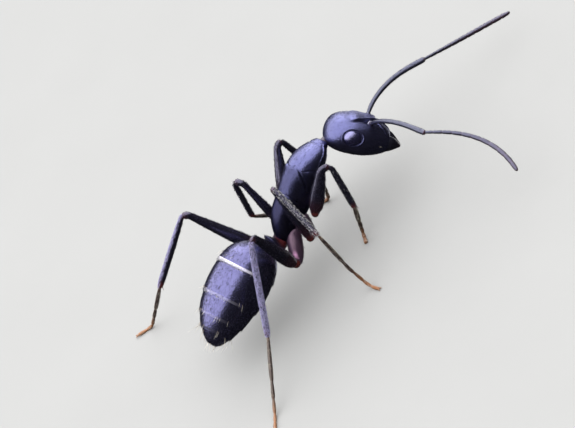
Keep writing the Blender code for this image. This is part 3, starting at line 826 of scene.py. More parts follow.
# %% Jaws
JAW_ROWS = [                # place, outer edge, top, bottom
    (1.16, 0.30, -0.05, -0.34),
    (1.16, 0.58, 0.30, -0.48),
    (1.45, 0.66, 0.34, -0.46),
    (1.70, 0.57, 0.26, -0.36),
    (1.92, 0.40, 0.10, -0.28),
    (2.06, 0.26, -0.04, -0.25),
    (2.13, 0.18, -0.09, -0.24),
    (2.17, 0.11, -0.13, -0.23),
    (2.17, 0.03, -0.17, -0.20),
]
TEETH_PER_MM = 5.2


def build_jaw(side):
    """Wedge: outer edge from the rows, inner edge 0.03 + 0.03 saw, which gives the teeth.

    The section is an ellipse about the middle of both edges, flatter on its inner side.
    """
    t = np.linspace(0, 1, 130)
    place, outer, top, bottom = spline(JAW_ROWS, t).T[:, :, None]
    angle = ring_angles(64)[None, :]
    saw = np.abs((place * TEETH_PER_MM) % 1.0 - 0.5) * 2
    inner = 0.030 + 0.030 * saw * ramp(place, 1.50, 1.62) * ramp(place, 2.15, 2.08)
    inner = np.minimum(inner, outer * 0.6)
    reach = np.where(np.cos(angle) > 0, outer - (outer + inner) / 2, (outer - inner) / 2)
    thin = 1 - 0.45 * ramp(-np.cos(angle), 0.0, 1.0)
    across = (outer + inner) / 2 + reach * np.cos(angle)
    upward = (top + bottom) / 2 + (top - bottom) / 2 * np.sin(angle) * thin
    local = np.stack([place + 0 * across, SIDES[side] * across, upward], axis=-1)
    tone = 0.10 * ramp(place, 1.8, 2.1)
    make(f"jaw_{side}", [solid(HEAD.place(local), tone)], JAW, [f"mandible_{side}"])


for side in SIDES:
    build_jaw(side)

# %% [markdown]
# ## Feelers
#
# A feeler is a long bowed shaft in a pale grey socket, a painted highlight, then eleven short
# beads. A chain of separate beads would leave seams, so one tube follows the whole path and its
# radius dips at each joint.

# %% Feeler sizes and poses
SOCKET_SEAT = (0.36, 0.33, 0.76)                # along the head, out to the side, up
SCAPE_LENGTH, FUNICULUS_LENGTH = 3.85, 5.10
BEADS, WHIP_STEPS = 11, 7
SCAPE_BOW = {"right": (0.24, 0.40), "left": (0.54, 0.39)}       # outward, upward
FEELER_POSE = {                                 # headings and climbs: shaft, whip's start, its end
    "right": ((-80.2, 2.1), (-40.5, -29.6), (-113.0, -25.3)),
    "left": ((-2.0, -4.8), (11.7, -30.7), (-10.0, -18.9)),
}
SOCKET_ROWS = [(0, 0), (0, 0.10), (0.2, 0.155), (0.6, 0.165), (0.9, 0.14), (1, 0.09), (1, 0)]
SHAFT_ROWS = [                                  # share of the length, radius
    (0, 0), (0, 0.09), (0.012, 0.12), (0.035, 0.120), (0.05, 0.080), (0.08, 0.095), (0.2, 0.106),
    (0.4, 0.112), (0.6, 0.118), (0.8, 0.128), (0.94, 0.136), (0.99, 0.120), (1, 0.07), (1, 0)]
WHIP_ROWS = [
    (0, 0), (0, 0.050), (0.01, 0.062), (0.05, 0.072), (0.2, 0.084), (0.4, 0.100), (0.7, 0.112),
    (0.9, 0.110), (0.97, 0.095), (0.995, 0.065), (1, 0.03), (1, 0)]
ARCH_PEAK = 0.318                               # highest value of s^0.6 (1 - s)^1.2
FEELER_SKINS = {}
print("a feeler is", SCAPE_LENGTH + FUNICULUS_LENGTH, "mm long")


# %% Points along a route
def lengths_along(route):
    """Distance from the start to each point of a route: the running sum of its steps."""
    return np.append(0, np.cumsum(np.linalg.norm(np.diff(route, axis=0), axis=1)))


def points_at(distance, done, route):
    """Points at distances along a route, read off the straight lines between its own points."""
    return np.stack([np.interp(distance, done, values) for values in route.T], axis=-1)


def along_curve(points, share):
    """Points at shares of the length of the smooth curve that points control."""
    fine = spline(points, np.linspace(0, 1, 600))
    done = lengths_along(fine)
    return points_at(share * done[-1], done, fine)


# %% Feelers
def feeler_paths(side):
    """Control points of shaft and whip.

    The shaft is the line to the elbow plus bow s^0.6 (1 - s)^1.2. The whip starts a little before
    the elbow and adds a few steps, each turned evenly from its first way to its last.
    """
    scape_way, start_way, end_way = FEELER_POSE[side]
    socket = HEAD.place(np.array(SOCKET_SEAT) * (1, SIDES[side], 1))
    elbow = socket + direction(*scape_way) * SCAPE_LENGTH
    outward, upward = SCAPE_BOW[side]
    bow = HEAD.way((0, SIDES[side] * outward, upward))
    shares = np.linspace(0, 1, 16)[:, None]
    arch = shares**0.6 * (1 - shares) ** 1.2 / ARCH_PEAK
    shaft = socket + (elbow - socket) * shares + bow * arch
    ways = np.linspace(start_way, end_way, WHIP_STEPS)
    steps = np.array([direction(*way) for way in ways]) * FUNICULUS_LENGTH / WHIP_STEPS
    whip = np.vstack([elbow - unit(elbow - shaft[-2]) * 0.08, elbow + np.cumsum(steps, axis=0)])
    return shaft, whip, np.cross(bow, elbow - socket), np.cross(steps[0], steps[-1])


def build_feeler(side):
    """Socket rim, shaft with a ball at its root, and a tube that narrows between its beads."""
    shaft, whip, shaft_plane, whip_plane = feeler_paths(side)
    outward = direction(*FEELER_POSE[side][0])
    share, radius = spline(SOCKET_ROWS, np.linspace(0, 1, 40)).T
    grid = tube(shaft[0] + outward * (0.11 * share[:, None] - 0.02), radius, radius, shaft_plane)
    # The socket's pale grey is a painted highlight.
    make(f"feeler_socket_{side}", [solid(grid, 1.0)], PALE_SOCKET_HIGHLIGHT)

    share, radius = spline(SHAFT_ROWS, np.linspace(0, 1, 200)).T
    grid = tube(along_curve(shaft, 0.010 + 0.990 * share), radius, radius * 0.94, shaft_plane)
    tone = 0.5 * ramp(share, 0.05, 0.0) + 0.35 * ramp(share, 0.97, 1.0)
    make(f"feeler_shaft_{side}", [solid(grid, tone[:, None])], FEELER, [f"scape_{side}"])
    FEELER_SKINS["shaft", side] = grid

    share, radius = spline(WHIP_ROWS, np.linspace(0, 1, 440)).T
    joint = (BEADS * np.clip(share, 0, 0.999) ** 0.94) % 1.0
    bead = 1 - 0.18 * bell(joint - 1.0, 0.07) - 0.18 * bell(joint, 0.07)
    grid = tube(along_curve(whip, share * 0.985), radius * bead, radius * bead, whip_plane)
    tone = 0.18 * ramp(share, 0.0, 1.0) + 0.15 * (1 - bead) / 0.18
    make(f"feeler_whip_{side}", [solid(grid, tone[:, None])], FEELER,
         [f"funiculus_{side}"])
    FEELER_SKINS["whip", side] = grid


for side in SIDES:
    build_feeler(side)

# %% [markdown]
# ## Legs
#
# Each leg is a chain: coxa, a small trochanter, femur, shin, then a foot of five joints that ends
# in two claws. The joints bend where the solids bend, so each leg's centre line is worked out the
# same way, and each armour tube takes its own stretch of it. Radii come from short tables.

# %% Leg sizes and poses
LEG_BUILD = {
    "fore": dict(root=(3.20, 0.36, 3.62), tip=(1.36, 1.04, 2.70), femur=3.10, tibia=2.87,
                 tarsus=2.15, foot=0.55, hip=0.33, thigh=0.31, shin=0.145),
    "mid": dict(root=(1.20, 0.28, 2.86), tip=(0.60, 0.95, 1.82), femur=4.18, tibia=3.11,
                tarsus=3.72, foot=0.60, hip=0.33, thigh=0.23, shin=0.135),
    "hind": dict(root=(0.50, 0.24, 2.72), tip=(-0.68, 0.98, 1.66), femur=4.81, tibia=4.77,
                 tarsus=3.57, foot=0.80, hip=0.38, thigh=0.31, shin=0.145),
}
LEG_POSE = {                # headings and climbs of a left leg; a right leg is mirrored
    ("fore", "right"): dict(femur=(26.7, 46.9), tibia=(171, -81.5), tarsus=-111, foot=119),
    ("fore", "left"): dict(femur=(21.7, 49.8), tibia=(18, -80.5), tarsus=124, foot=124),
    ("mid", "right"): dict(femur=(66.9, 83.0), tibia=(101.5, -42.3), tarsus=76, foot=82,
                           knuckle=0.66),
    ("mid", "left"): dict(femur=(98.5, 82.2), tibia=(119, -72.6), tarsus=40, foot=95),
    ("hind", "right"): dict(femur=(122.1, 64.7), tibia=(173, -56.6), tarsus=148.7, foot=131),
    ("hind", "left"): dict(femur=(133.5, 64.1), tibia=(141.5, -42.6), tarsus=117, foot=150),
}
FOOT_AXIS_Z = 0.20          # height of the solid foot's axis
FOOT_R = 0.062              # the fine foot's own radius, so that it lies on the floor


def leg_corners(pair, side):
    """Corners of one leg's centre line, from inside the trunk to the toe, just above the floor.

    Each corner is the one before plus a direction times a length. The foot's run over the floor is
    the root of its length squared minus its drop squared.
    """
    build, pose = LEG_BUILD[pair], LEG_POSE[pair, side]
    mirror = np.array([1, SIDES[side], 1])
    root, tip = np.array(build["root"]) * mirror, np.array(build["tip"]) * mirror
    knee = tip + direction(*pose["femur"]) * mirror * build["femur"]
    ankle = knee + direction(*pose["tibia"]) * mirror * build["tibia"]
    hanging = pose.get("knuckle", 0) * build["tarsus"]
    knuckle = ankle - (0, 0, hanging)
    drop = knuckle[2] - FOOT_AXIS_Z
    run = math.sqrt((build["tarsus"] - hanging) ** 2 - drop ** 2)
    heel = knuckle + direction(pose["tarsus"]) * mirror * run
    heel[2] = FOOT_R
    toe = heel + direction(pose["foot"]) * mirror * build["foot"]
    return [root, tip, knee, ankle] + ([knuckle] if hanging else []) + [heel, toe]


print("toe of the fore left leg:", leg_corners("fore", "left")[-1].round(2))


# %% Rounded bends
BEND_R, SOFT_BEND_R = 0.29, 0.45
HIP_REACH, KNEE_REACH = 0.14, 0.18      # how far a bend may fall short of its corner
ARC_POINTS = 15


def pushed_out(before, corner, after, reach):
    """Corner moved outward, so that its rounded bend still reaches the sharp corner's place.

    An arc's middle falls short of its corner by r / sin(half the angle) - r. A shortfall up to
    reach is let be.
    """
    a, b = unit(before - corner), unit(after - corner)
    short = BEND_R / math.sin(math.acos(a @ b) / 2) - BEND_R
    return corner - unit(a + b) * max(short - reach, 0)


def rounded_route(points, bends):
    """Polyline whose inner corners are arcs, centre + r (u sin((1 - t) w) + v sin(t w)) / sin w.

    Here u and v point from the centre to the arc's ends and w is the angle between them. Returns
    the route, the distance at each of its points, and the distance at each arc's middle.
    """
    route, middles = [points[0]], []
    for before, corner, after, radius in zip(points, points[1:], points[2:], bends):
        a, b = unit(before - corner), unit(after - corner)
        half = math.acos(np.clip(a @ b, -1, 1)) / 2
        centre = corner + unit(a + b) * radius / math.sin(half)
        u = (corner + a * radius / math.tan(half) - centre) / radius
        v = (corner + b * radius / math.tan(half) - centre) / radius
        sweep = math.pi - 2 * half
        t = np.linspace(0, 1, ARC_POINTS)[:, None]
        turned = np.sin((1 - t) * sweep) * u + np.sin(t * sweep) * v
        middles.append(len(route) + ARC_POINTS // 2)
        route += list(centre + radius * turned / math.sin(sweep))
    route = np.array(route + [points[-1]])
    done = lengths_along(route)
    return route, done, done[middles]


# %% Centre line of a leg
HALF_STEP = 0.03            # half the stretch over which the line's direction is taken


class LegLine:
    """Centre line of one leg, the distances of its joints, and the planes that it bends in."""

    def __init__(self, pair, side):
        self.pair, self.side, self.label = pair, side, f"{pair}_{side}"
        root, tip, knee, ankle, *foot = leg_corners(pair, side)
        tip = pushed_out(root, tip, knee, HIP_REACH)
        knee = pushed_out(tip, knee, ankle, KNEE_REACH)
        bends = (BEND_R, BEND_R) + (SOFT_BEND_R,) * len(foot)
        corners = (root, tip, knee, ankle, *foot)
        self.route, self.done, (self.hip, self.bend, self.heel, *_) = rounded_route(corners, bends)
        self.hip_plane = np.cross(tip - root, knee - tip)
        self.knee_plane = np.cross(knee - tip, ankle - knee)
        self.after_ankle = foot[0] - ankle

    def at(self, distance):
        """Points at distances along the route."""
        return points_at(distance, self.done, self.route)

    def tube(self, start, end, rows, plane, flat=1.0, sides=36, count=110):
        """Armour tube from start to end, and each ring's share of it; rows hold share and radius.

        A ring is path + r (side cos a + flat over sin a). Side and over are square to the path.
        """
        share, radius = spline(rows, np.linspace(0, 1, count)).T
        distance = start + (end - start) * share
        step = unit(self.at(distance + HALF_STEP) - self.at(distance - HALF_STEP))
        side = unit(np.cross(plane, step))[:, None]
        over = np.cross(step, side[:, 0])[:, None]
        angle = ring_angles(sides)[None, :, None]
        radius = radius[:, None, None]
        grid = (self.at(distance)[:, None] + (radius * np.cos(angle)) * side
                + (radius * flat * np.sin(angle)) * over)
        return grid, share


LEG_LINES = [LegLine(pair, side) for pair, side in LEG_POSE]
LEG_SKINS = {}
for line in LEG_LINES:
    print(line.label, "leg:", round(float(line.done[-1]), 2), "mm from trunk to toe")


# %% Hips
def build_coxa(line):
    """Stout cone; painted highlight: bright red at the hind legs' far end, facing out and up."""
    haunch = LEG_BUILD[line.pair]["hip"]
    rows = [(0, 0.05), (0, 0.28), (0.2, haunch), (0.5, haunch * 1.06), (0.75, haunch * 0.95),
            (0.93, 0.23), (1.0, 0.18), (1.0, 0.0)]
    grid, share = line.tube(0.0, line.hip + 0.02, rows, line.hip_plane, flat=0.92, sides=56)
    # Painted highlight: the hind hips are pink where they face back, out and up near their far end;
    # the fore and mid hips get a trace of it.
    outward = unit(np.array([-0.75, SIDES[line.side], 0.40]))
    painted_coxa_highlight = (1.0 if line.pair == "hind" else 0.04) * ramp(grid_normals(grid) @ outward, 0.86, 0.99)
    far_end = ramp(share, 0.56, 0.74) * ramp(share, 0.98, 0.85)
    make(f"coxa_armour_{line.label}", [solid(grid, 0.05 + painted_coxa_highlight * far_end[:, None])],
         HIP, [f"coxa_{line.label}"])
    LEG_SKINS["coxa", line.pair, line.side] = grid


# %% Thighs
def build_thigh(line):
    """Russet ball at the hip, then a spindle flattened to 0.8, russet again at the knee."""
    rows = [(0, 0.0), (0, 0.10), (0.15, 0.165), (0.5, 0.185), (0.85, 0.16), (1, 0.12), (1, 0.0)]
    ball, _ = line.tube(line.hip - 0.12, line.hip + 0.34, rows, line.hip_plane, sides=40, count=50)
    thigh = LEG_BUILD[line.pair]["thigh"]
    rows = [(0, 0.0), (0, 0.12), (0.03, 0.18), (0.09, thigh * 0.98), (0.20, thigh * 1.12),
            (0.38, thigh * 1.08), (0.60, thigh * 0.88), (0.80, thigh * 0.68), (0.92, 0.165),
            (0.965, 0.185), (1.0, 0.16), (1.0, 0.0)]
    grid, share = line.tube(line.hip + 0.22, line.bend + 0.10, rows, line.knee_plane,
                            flat=0.80, sides=48, count=160)
    tone = (0.65 * ramp(share, 0.12, 0.0) + 0.15 * ramp(share, 0.40, 0.10)
            + 0.25 * ramp(share, 0.93, 1.0))
    make(f"femur_armour_{line.label}", [solid(ball, 0.75), solid(grid, tone[:, None])],
         LIMB, [f"femur_{line.label}"])
    LEG_SKINS["femur", line.pair, line.side] = grid


# %% Shins, with a spur at the foot end
def spine(start, end, radius):
    """Straight spur whose radius shrinks by 0.9 s toward its tip."""
    s = np.linspace(0, 1, 8)[:, None]
    way = end - start
    thickness = radius * (1 - 0.9 * s[:, 0])
    return tube(start + way * s, thickness, thickness, np.cross(way, (0.3, 0.5, 0.8)), sides=8)


def build_shin(line):
    """Slim tube with a narrow neck at the knee; its spur stands on the inner side."""
    shin = LEG_BUILD[line.pair]["shin"]
    rows = [(0, 0.0), (0, 0.08), (0.03, 0.115), (0.07, 0.105), (0.13, shin * 0.85), (0.30, shin),
            (0.55, shin * 1.03), (0.80, shin), (0.95, shin * 0.98), (0.99, shin * 0.80),
            (1.0, 0.10), (1.0, 0.0)]
    grid, share = line.tube(line.bend - 0.06, line.heel - 0.02, rows, line.knee_plane,
                            flat=0.92, sides=40, count=150)
    tone = 0.25 * ramp(share, 0.10, 0.0) + 0.85 * ramp(share, 0.86, 0.98)
    inner = unit(np.cross(line.knee_plane, line.after_ankle)) * (-1 if line.pair == "fore" else 1)
    onward = unit(line.after_ankle)
    base = line.at(line.heel - 0.08)
    spur = spine(base + inner * 0.08, base + inner * 0.20 + onward * 0.36, 0.028)
    make(f"shin_armour_{line.label}", [solid(grid, tone[:, None]), solid(spur, 0.9)],
         SHIN, [f"tibia_{line.label}"])
    LEG_SKINS["tibia", line.pair, line.side] = grid


# %% Feet
FOOT_JOINTS = (0.0, 0.46, 0.64, 0.78, 0.88, 1.0)
FOOT_RADII = (0.098, 0.086, 0.080, 0.076, 0.080)
FLOOR = (-99, -99, 0.0)     # lowest values of a point: only its height is held, at the floor


def claw(start, way, up, size):
    """Curved hook: start + size (way sin 1.6 s + up (0.35 sin 3.1 s - 0.55 s^2)), to a point."""
    s = np.linspace(0, 1, 14)[:, None]
    route = start + size * (way * np.sin(1.6 * s) + up * (0.35 * np.sin(3.1 * s) - 0.55 * s**2))
    radius = 0.030 * (1 - s[:, 0] ** 1.4) + 0.003
    return np.maximum(tube(route, radius, radius, np.cross(way, up), sides=10), FLOOR)


def build_foot(line):
    """Five joints, each a tube that swells from 0.62 r to r and a little more, and two claws."""
    rows = [(0, 0.0)]
    for a, b, radius in zip(FOOT_JOINTS, FOOT_JOINTS[1:], FOOT_RADII):
        r = radius * (1.12 if line.pair == "fore" else 0.95)
        rows += [(a + 0.002, r * 0.62), (a + 0.3 * (b - a), r), (b - 0.25 * (b - a), r * 1.05),
                 (b - 0.004, r)]
    rows += [(1.0, 0.0)]
    grid, share = line.tube(line.heel - 0.10, line.done[-1], rows, line.knee_plane,
                            sides=28, count=260)
    grid = np.maximum(grid, FLOOR)
    amber = 0.45 if line.pair == "fore" else 0.65
    tone = 0.05 + 0.20 * ramp(share, 0.10, 0.0) + amber * ramp(share, 0.55, 0.90)
    toe, up = line.route[-1], np.array([0, 0, 1.0])
    forward = unit(toe - line.route[-2])
    across = 0.55 * np.cross(forward, up)
    hooks = [claw(toe - forward * 0.02, unit(forward + spread), up * 0.6, 0.15)
             for spread in (across, -across)]
    make(f"foot_armour_{line.label}", [solid(grid, tone[:, None])] + [solid(h, 0.8) for h in hooks],
         FOOT, [f"tarsus_{line.label}"])
    LEG_SKINS["tarsus", line.pair, line.side] = grid


# %% All six legs
for line in LEG_LINES:
    build_coxa(line)
    build_thigh(line)
    build_shin(line)
    build_foot(line)

# %% [markdown]
# ## Hair
#
# An ant's armour carries several kinds of hair: fine dark down that lies nearly flat and points
# backward, a frost of pale hairs on the outer faces of the shins, a short pale fringe on the rims
# of the first gaster plates, and a few long golden bristles that stand up. Particles would be
# quick, but a mesh keeps every hair solid. Each hair is a thin three-sided cone on a curve, and
# all hairs of a coat are worked out together. Roots are spread evenly by the area of the cells
# that they stand on.

# %% Roots
def scatter(grid, count, seed, weight=None):
    """Roots on a grid of rings: cells are drawn by area times weight, and a point by even shares.

    Returns the points, outward normals, ways along the grid, and (u, v) on the unrolled grid.
    """
    random = np.random.default_rng(seed)
    a, d = grid[:-1], grid[1:]
    b, c = np.roll(a, -1, axis=1), np.roll(d, -1, axis=1)
    area = np.linalg.norm(np.cross(c - a, d - b), axis=-1)
    if weight is not None:
        area = area * weight((a + c) / 2)
    chance = np.cumsum(area.ravel())
    i, j = np.divmod(np.searchsorted(chance, random.random(count) * chance[-1]), grid.shape[1])
    f, g = random.random((2, count, 1))
    point = (1 - f) * ((1 - g) * a[i, j] + g * b[i, j]) + f * ((1 - g) * d[i, j] + g * c[i, j])
    spot = np.hstack([(j[:, None] + g) / grid.shape[1], (i[:, None] + f) / (len(grid) - 1)])
    return point, grid_normals(grid)[i, j], unit(d[i, j] - a[i, j]), spot


# %% Hairs on their roots
CORNERS = 3                                     # of a hair's rings
CORNER_ANGLES = np.array([0.5, 2.6, 4.7])
ROOT_DEPTH = 0.3                                # how deep a hair is set, in its own radii
PATCH = 0.003                                   # width of one hair's own patch of the map


def hairs(roots, length, radius, lean, seed, curl=0.4, wander=0.35, back=1, steps=3):
    """Cones on curves: p(s) = root + L (n (s cos e - c s^2 / 2) + w (s sin e + c s^2 / 2)).

    n is the normal, w the way the coat lies, e the lean from the normal in degrees and c the curl.
    Lengths L vary from 0.7 to 1.3 of the length, ways by wander and leans by 8 degrees.
    """
    random = np.random.default_rng(seed)
    point, normal, way, spot = roots
    count = len(point)
    turn = wander * random.standard_normal((count, 1))
    way = back * way * np.cos(turn) + np.cross(normal, way) * np.sin(turn)
    size = length * (0.7 + 0.6 * random.random((count, 1, 1)))
    tilt = np.radians(lean + 8 * random.standard_normal((count, 1, 1)))
    s = (np.arange(steps + 1) / steps)[None, :, None]
    n, w = normal[:, None], way[:, None]
    line = (point - ROOT_DEPTH * radius * normal)[:, None] + size * (
        n * (s * np.cos(tilt) - curl * s**2 / 2) + w * (s * np.sin(tilt) + curl * s**2 / 2))
    side = np.cross(normal, way)[:, None, None]
    over = np.cross(unit(line[:, 1:2] - line[:, :1]), side[:, 0])[:, :, None]
    angle = CORNER_ANGLES[None, None, :, None]
    taper = (1 - 0.8 * s[:, :-1] ** 1.5)[..., None]
    rings = line[:, :-1, None] + radius * taper * (np.cos(angle) * side + np.sin(angle) * over)
    verts = np.concatenate([rings.reshape(count, -1, 3), line[:, -1:]], axis=1)
    share = np.append(np.repeat(np.arange(steps) / steps, CORNERS), 1.0)
    patch = np.stack([np.append(np.tile([0.0, 0.5, 1.0], steps), 0.5), share], axis=1)
    tone = np.repeat(share[None], count, axis=0)
    return verts, tone, spot[:, None] + PATCH * (patch - 0.5)


# %% Coats
def hair_faces(one):
    """Faces of one hair: quads between its rings, a fan at the tip and a triangle at the root.

    They are turned where the first face's normal points inward, toward the root's middle.
    """
    size = len(one)
    here = np.arange(CORNERS)
    after = (here + 1) % CORNERS
    ring = np.arange(0, size - 1 - CORNERS, CORNERS)[:, None]
    low, high = ring + here, ring + after
    quads = np.stack([low, high, high + CORNERS, low + CORNERS], axis=-1).reshape(-1, 4)
    last = size - 1 - CORNERS
    tips = np.stack([last + here, last + after, np.full(CORNERS, size - 1)], axis=1)
    tris = np.vstack([tips, [[2, 1, 0]]])
    outward = (one[0] + one[1]) / 2 - one[:CORNERS].mean(axis=0)
    if np.dot(np.cross(one[1] - one[0], one[CORNERS] - one[0]), outward) < 0:
        quads, tris = quads[:, ::-1], tris[:, ::-1]
    return quads, tris


def coat(name, parts, finish):
    """One mesh from all the hairs of a coat; each part keeps a column of the map of its own."""
    verts = np.vstack([verts.reshape(-1, 3) for verts, _, _ in parts])
    tones = np.concatenate([tone.ravel() for _, tone, _ in parts])
    spots = np.vstack([((spot + (k, 0)) / (len(parts), 1)).reshape(-1, 2)
                       for k, (_, _, spot) in enumerate(parts)])
    one = parts[0][0][0]
    quads, tris = hair_faces(one)
    base = np.arange(0, len(verts), len(one))[:, None, None]
    faces = (quads + base).reshape(-1, 4).tolist() + (tris + base).reshape(-1, 3).tolist()
    verts[:, 2] = np.maximum(verts[:, 2], 0.001)            # no hair dips into the floor
    piece = new_object(name, verts, faces, tones, finish)
    corner = np.empty(len(piece.data.loops), np.int32)
    piece.data.loops.foreach_get("vertex_index", corner)
    spots = np.clip(spots, 0.0, 1.0)[corner].astype(np.float32)
    piece.data.uv_layers.new(name="OFBake").data.foreach_set("uv", spots.ravel())


# %% Down on the body
DOWN_COUNTS = {1: 1900, 2: 2400, 3: 1400, 4: 700, 5: 400}       # hairs on each gaster plate


def off_the_eyes(points):
    """1 away from the eyes, 0 over them: a ramp of the distance from each eye's centre."""
    keep = np.ones(points.shape[:-1])
    for sign in SIDES.values():
        centre = HEAD.place(eye_axes(sign)[0])
        keep *= ramp(np.linalg.norm(points - centre, axis=-1), 0.50, 0.56)
    return keep


head_roots = scatter(HEAD_SKIN, 2200, 11, off_the_eyes)
coat("head_down", [hairs(head_roots, 0.080, 0.0036, 74, 12, steps=2)], DOWN)
trunk_roots = scatter(TRUNK_SKIN, 3000, 13)
coat("trunk_down", [hairs(trunk_roots, 0.090, 0.0036, 72, 14, back=-1, steps=2)], DOWN)
gaster_roots = {number: scatter(grid, DOWN_COUNTS[number], 20 + number)
                for number, grid in GASTER_PLATES.items()}
coat("gaster_down", [hairs(roots, 0.115, 0.0050, 79, 30 + number, curl=0.2, wander=0.25, steps=2)
                     for number, roots in gaster_roots.items()], DOWN)
waist_roots = scatter(WAIST_SKIN, 260, 41)
coat("waist_down", [hairs(waist_roots, 0.09, 0.0050, 60, 42, steps=2)], DOWN)


# %% Coats of the legs
def limb_coat(name, kind, count, length, radius, lean, finish, seed):
    """The same coat on one kind of joint of all six legs, from one seed more for each leg."""
    skins = [grid for (joint, _, _), grid in LEG_SKINS.items() if joint == kind]
    coat(name, [hairs(scatter(grid, count, seed + k), length, radius, lean, seed + 50 + k, steps=2)
                for k, grid in enumerate(skins)], finish)


def outer_face(side):
    """Weight over a limb's rings: 1 where they face out and up on that side, 0 inside and below."""
    out = unit(np.array([0.0, SIDES[side], 0.7]))

    def weight(points):
        """A ramp of how far the way from the ring's middle to the point agrees with out."""
        return ramp(unit(points - points.mean(axis=1, keepdims=True)) @ out, -0.45, 0.35)

    return weight


def frost(pair, count, length, radius, lean, finish, seed):
    """Pale hairs on the outer faces of both shins of a pair."""
    parts = []
    for k, side in enumerate(SIDES):
        roots = scatter(LEG_SKINS["tibia", pair, side], count, seed + k, outer_face(side))
        parts.append(hairs(roots, length, radius, lean, seed + 5 + k, wander=0.45, steps=2))
    coat(f"{pair}_shin_frost", parts, finish)


limb_coat("shin_hair", "tibia", 750, 0.085, 0.0060, 60, DOWN, 100)
frost("mid", 400, 0.085, 0.0120, 38, SILVER, 150)
# The hind shins' frost is coloured lavender, a painted reflection of the sky.
frost("hind", 2600, 0.080, 0.0065, 60, SKY_TINTED_FROST, 160)
frost("fore", 60, 0.075, 0.0060, 60, SILVER, 170)
limb_coat("thigh_hair", "femur", 420, 0.120, 0.0070, 62, DOWN, 200)
limb_coat("coxa_hair", "coxa", 160, 0.120, 0.0070, 60, DOWN, 300)
limb_coat("foot_hair", "tarsus", 300, 0.095, 0.0045, 50, GOLD, 400)

# %% Down on the feelers
coat("feeler_down", [hairs(scatter(grid, 700, 500 + k), 0.050, 0.0040, 55, 550 + k, steps=2)
                     for k, grid in enumerate(FEELER_SKINS.values())], DOWN)


# %% Golden bristles, and a pale fringe
def height_on_gaster(points):
    """How far points lie above the gaster's axis, in millimetres."""
    return (points - GASTER.origin) @ GASTER.up


def upper(points):
    """1 on the upper part of the gaster, 0 on its flanks and below."""
    return ramp(height_on_gaster(points), 0.3, 0.9)


def crest(points):
    """1 along the top of the gaster, 0 on its sides."""
    return ramp(height_on_gaster(points), 0.7, 1.4)


def mouth_and_nape(points):
    """Bells at both ends of the head, the rear one 0.3 high, and 0 over the eyes."""
    along = (points - HEAD.origin) @ HEAD.along
    return off_the_eyes(points) * (bell(along - 1.1, 0.35) + 0.3 * bell(along + 1.2, 0.3))


bristles = [hairs(scatter(GASTER_PLATES[number][-14:-10], 9, 600 + number, upper), 0.36, 0.0065,
                  40, 610 + number, wander=0.2) for number in (1, 2, 3, 4)]
bristles.append(hairs(scatter(GASTER_PLATES[5], 18, 640), 0.60, 0.012, 46, 641, wander=0.25))
coat("gaster_bristles", bristles, GOLD)
head_roots = scatter(HEAD_SKIN, 24, 650, mouth_and_nape)
coat("head_bristles", [hairs(head_roots, 0.16, 0.0060, 30, 651)], GOLD)
# The pale fringe stands only along the top of the first rims, where the light falls: with the rims'
# tone it makes a highlight painted with hair.
fringe = [hairs(scatter(GASTER_PLATES[number][-4:], count, 660 + number, crest), 0.10, 0.0055,
                76, 670 + number, wander=0.15, steps=2) for number, count in ((1, 300), (2, 60))]
coat("gaster_fringe", fringe, SILVER)

# %% [markdown]
# ## The stage
#
# A still model is shown on a plain pale floor. Glossy armour shows the shape of its lamp, so the
# main lamp is one very wide softbox overhead, like a bright sky, which leans a little to the
# ant's left. A long low panel ahead and to the left draws a band of light on the head, and a weak
# fill opens the shadows. A long lens far away keeps the body's proportions, as a macro lens does.

# %% Floor
FLOOR_HALF = 4.0            # metres


def floor_finish():
    """Matt pale board with the faintest mottling."""
    finish = Finish("pale_board", Roughness=0.9, Specular_IOR_Level=0.1)
    mottling = finish.noise(6.0, 3.0)
    finish.feed(Base_Color=finish.mix(mottling, (0.272, 0.272, 0.269, 1), (0.288, 0.288, 0.285, 1)))
    return finish.material


def build_floor():
    """Flat square far larger than the view: its corners are plus and minus the half side."""
    corners = [(x * FLOOR_HALF, y * FLOOR_HALF, 0) for x, y in ((-1, -1), (1, -1), (1, 1), (-1, 1))]
    mesh = bpy.data.meshes.new("floor")
    mesh.from_pydata(corners, [], [(0, 1, 2, 3)])
    mesh.materials.append(floor_finish())
    floor = bpy.data.objects.new("floor", mesh)
    bpy.context.scene.collection.objects.link(floor)
    floor.visible_glossy = False
    print("floor:", 2 * FLOOR_HALF, "m wide")


build_floor()


# %% Lamps
ANT_MIDDLE = np.array([0, 0, 3.0])


def look_at(thing, place, target, up):
    """Puts a lamp or the camera at a place (mm), facing a target, with up nearest the top.

    Its own axes are right = up x back, top = back x right, and back, away from the target.
    """
    back = unit(np.asarray(place, float) - target)
    right = unit(np.cross(up, back))
    top = np.cross(back, right)
    turn = [[right[k], top[k], back[k], place[k] * MM] for k in range(3)] + [[0, 0, 0, 1]]
    thing.matrix_world = [list(column) for column in zip(*turn)]


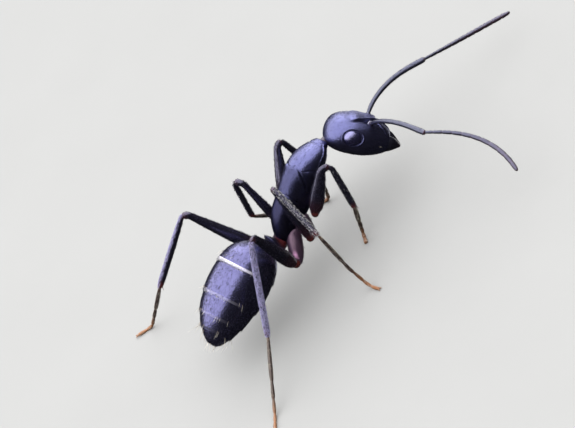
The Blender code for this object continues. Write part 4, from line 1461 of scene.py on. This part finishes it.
def lamp(name, way, distance, size, radiance):
    """Rectangular lamp that shines on the ant; its watts are radiance x pi x area."""
    light = bpy.data.lights.new(name, "AREA")
    light.shape = "RECTANGLE"
    light.size, light.size_y = size[0] * MM, size[1] * MM
    light.energy = radiance * math.pi * light.size * light.size_y
    thing = bpy.data.objects.new(name, light)
    thing.visible_camera = False
    bpy.context.scene.collection.objects.link(thing)
    place = ANT_MIDDLE + unit(np.array(way, float)) * distance
    look_at(thing, place, ANT_MIDDLE, (0, 1, 0.1))
    print(f"{name}: {light.energy:.1f} W")


lamp("sky_softbox", (0.00, 0.21, 0.98), 1500, (8000, 5400), 3.2)
lamp("head_panel", (0.70, 0.71, 0.02), 1600, (4400, 1050), 1.4)
lamp("front_fill", (0.3, -0.8, 0.35), 2600, (1200, 900), 0.15)

# %% Camera
CAMERA_AZIMUTH, CAMERA_ELEVATION, CAMERA_ROLL = -12.61, 35.88, -43.12
CAMERA_DISTANCE, FRAME_WIDTH, SENSOR = 240.0, 26.1, 36.0
AIM = np.array([0.885, 0.330, 3.02]) + SHIFT
camera = bpy.data.objects.new("camera", bpy.data.cameras.new("camera"))
bpy.context.scene.collection.objects.link(camera)
camera.data.sensor_width = SENSOR
camera.data.lens = SENSOR * CAMERA_DISTANCE / FRAME_WIDTH
camera.data.clip_start, camera.data.clip_end = 0.01, 20.0           # metres
toward = direction(CAMERA_AZIMUTH - 90, CAMERA_ELEVATION)
level = direction(CAMERA_AZIMUTH)
upright = np.cross(toward, level)
roll = math.radians(CAMERA_ROLL)
tilted_up = math.cos(roll) * upright - math.sin(roll) * level
look_at(camera, AIM + toward * CAMERA_DISTANCE, AIM, tilted_up)
bpy.context.scene.camera = camera
print("the lens is", round(camera.data.lens), "mm long")

# %% Room
world = bpy.data.worlds.new("studio")
bpy.context.scene.world = world
world.use_nodes = True
studio = world.node_tree
background = studio.nodes["Background"]
background.inputs["Color"].default_value = (0.98, 0.98, 0.97, 1)
seen = studio.nodes.new("ShaderNodeLightPath").outputs["Is Camera Ray"]
strength = studio.nodes.new("ShaderNodeMapRange")          # a dim room behind a pale wall
strength.inputs["To Min"].default_value, strength.inputs["To Max"].default_value = 0.015, 0.80
studio.links.new(seen, strength.inputs["Value"])
studio.links.new(strength.outputs["Result"], background.inputs["Strength"])
bpy.context.scene.view_settings.view_transform = "Standard"
print("world:", world.name)
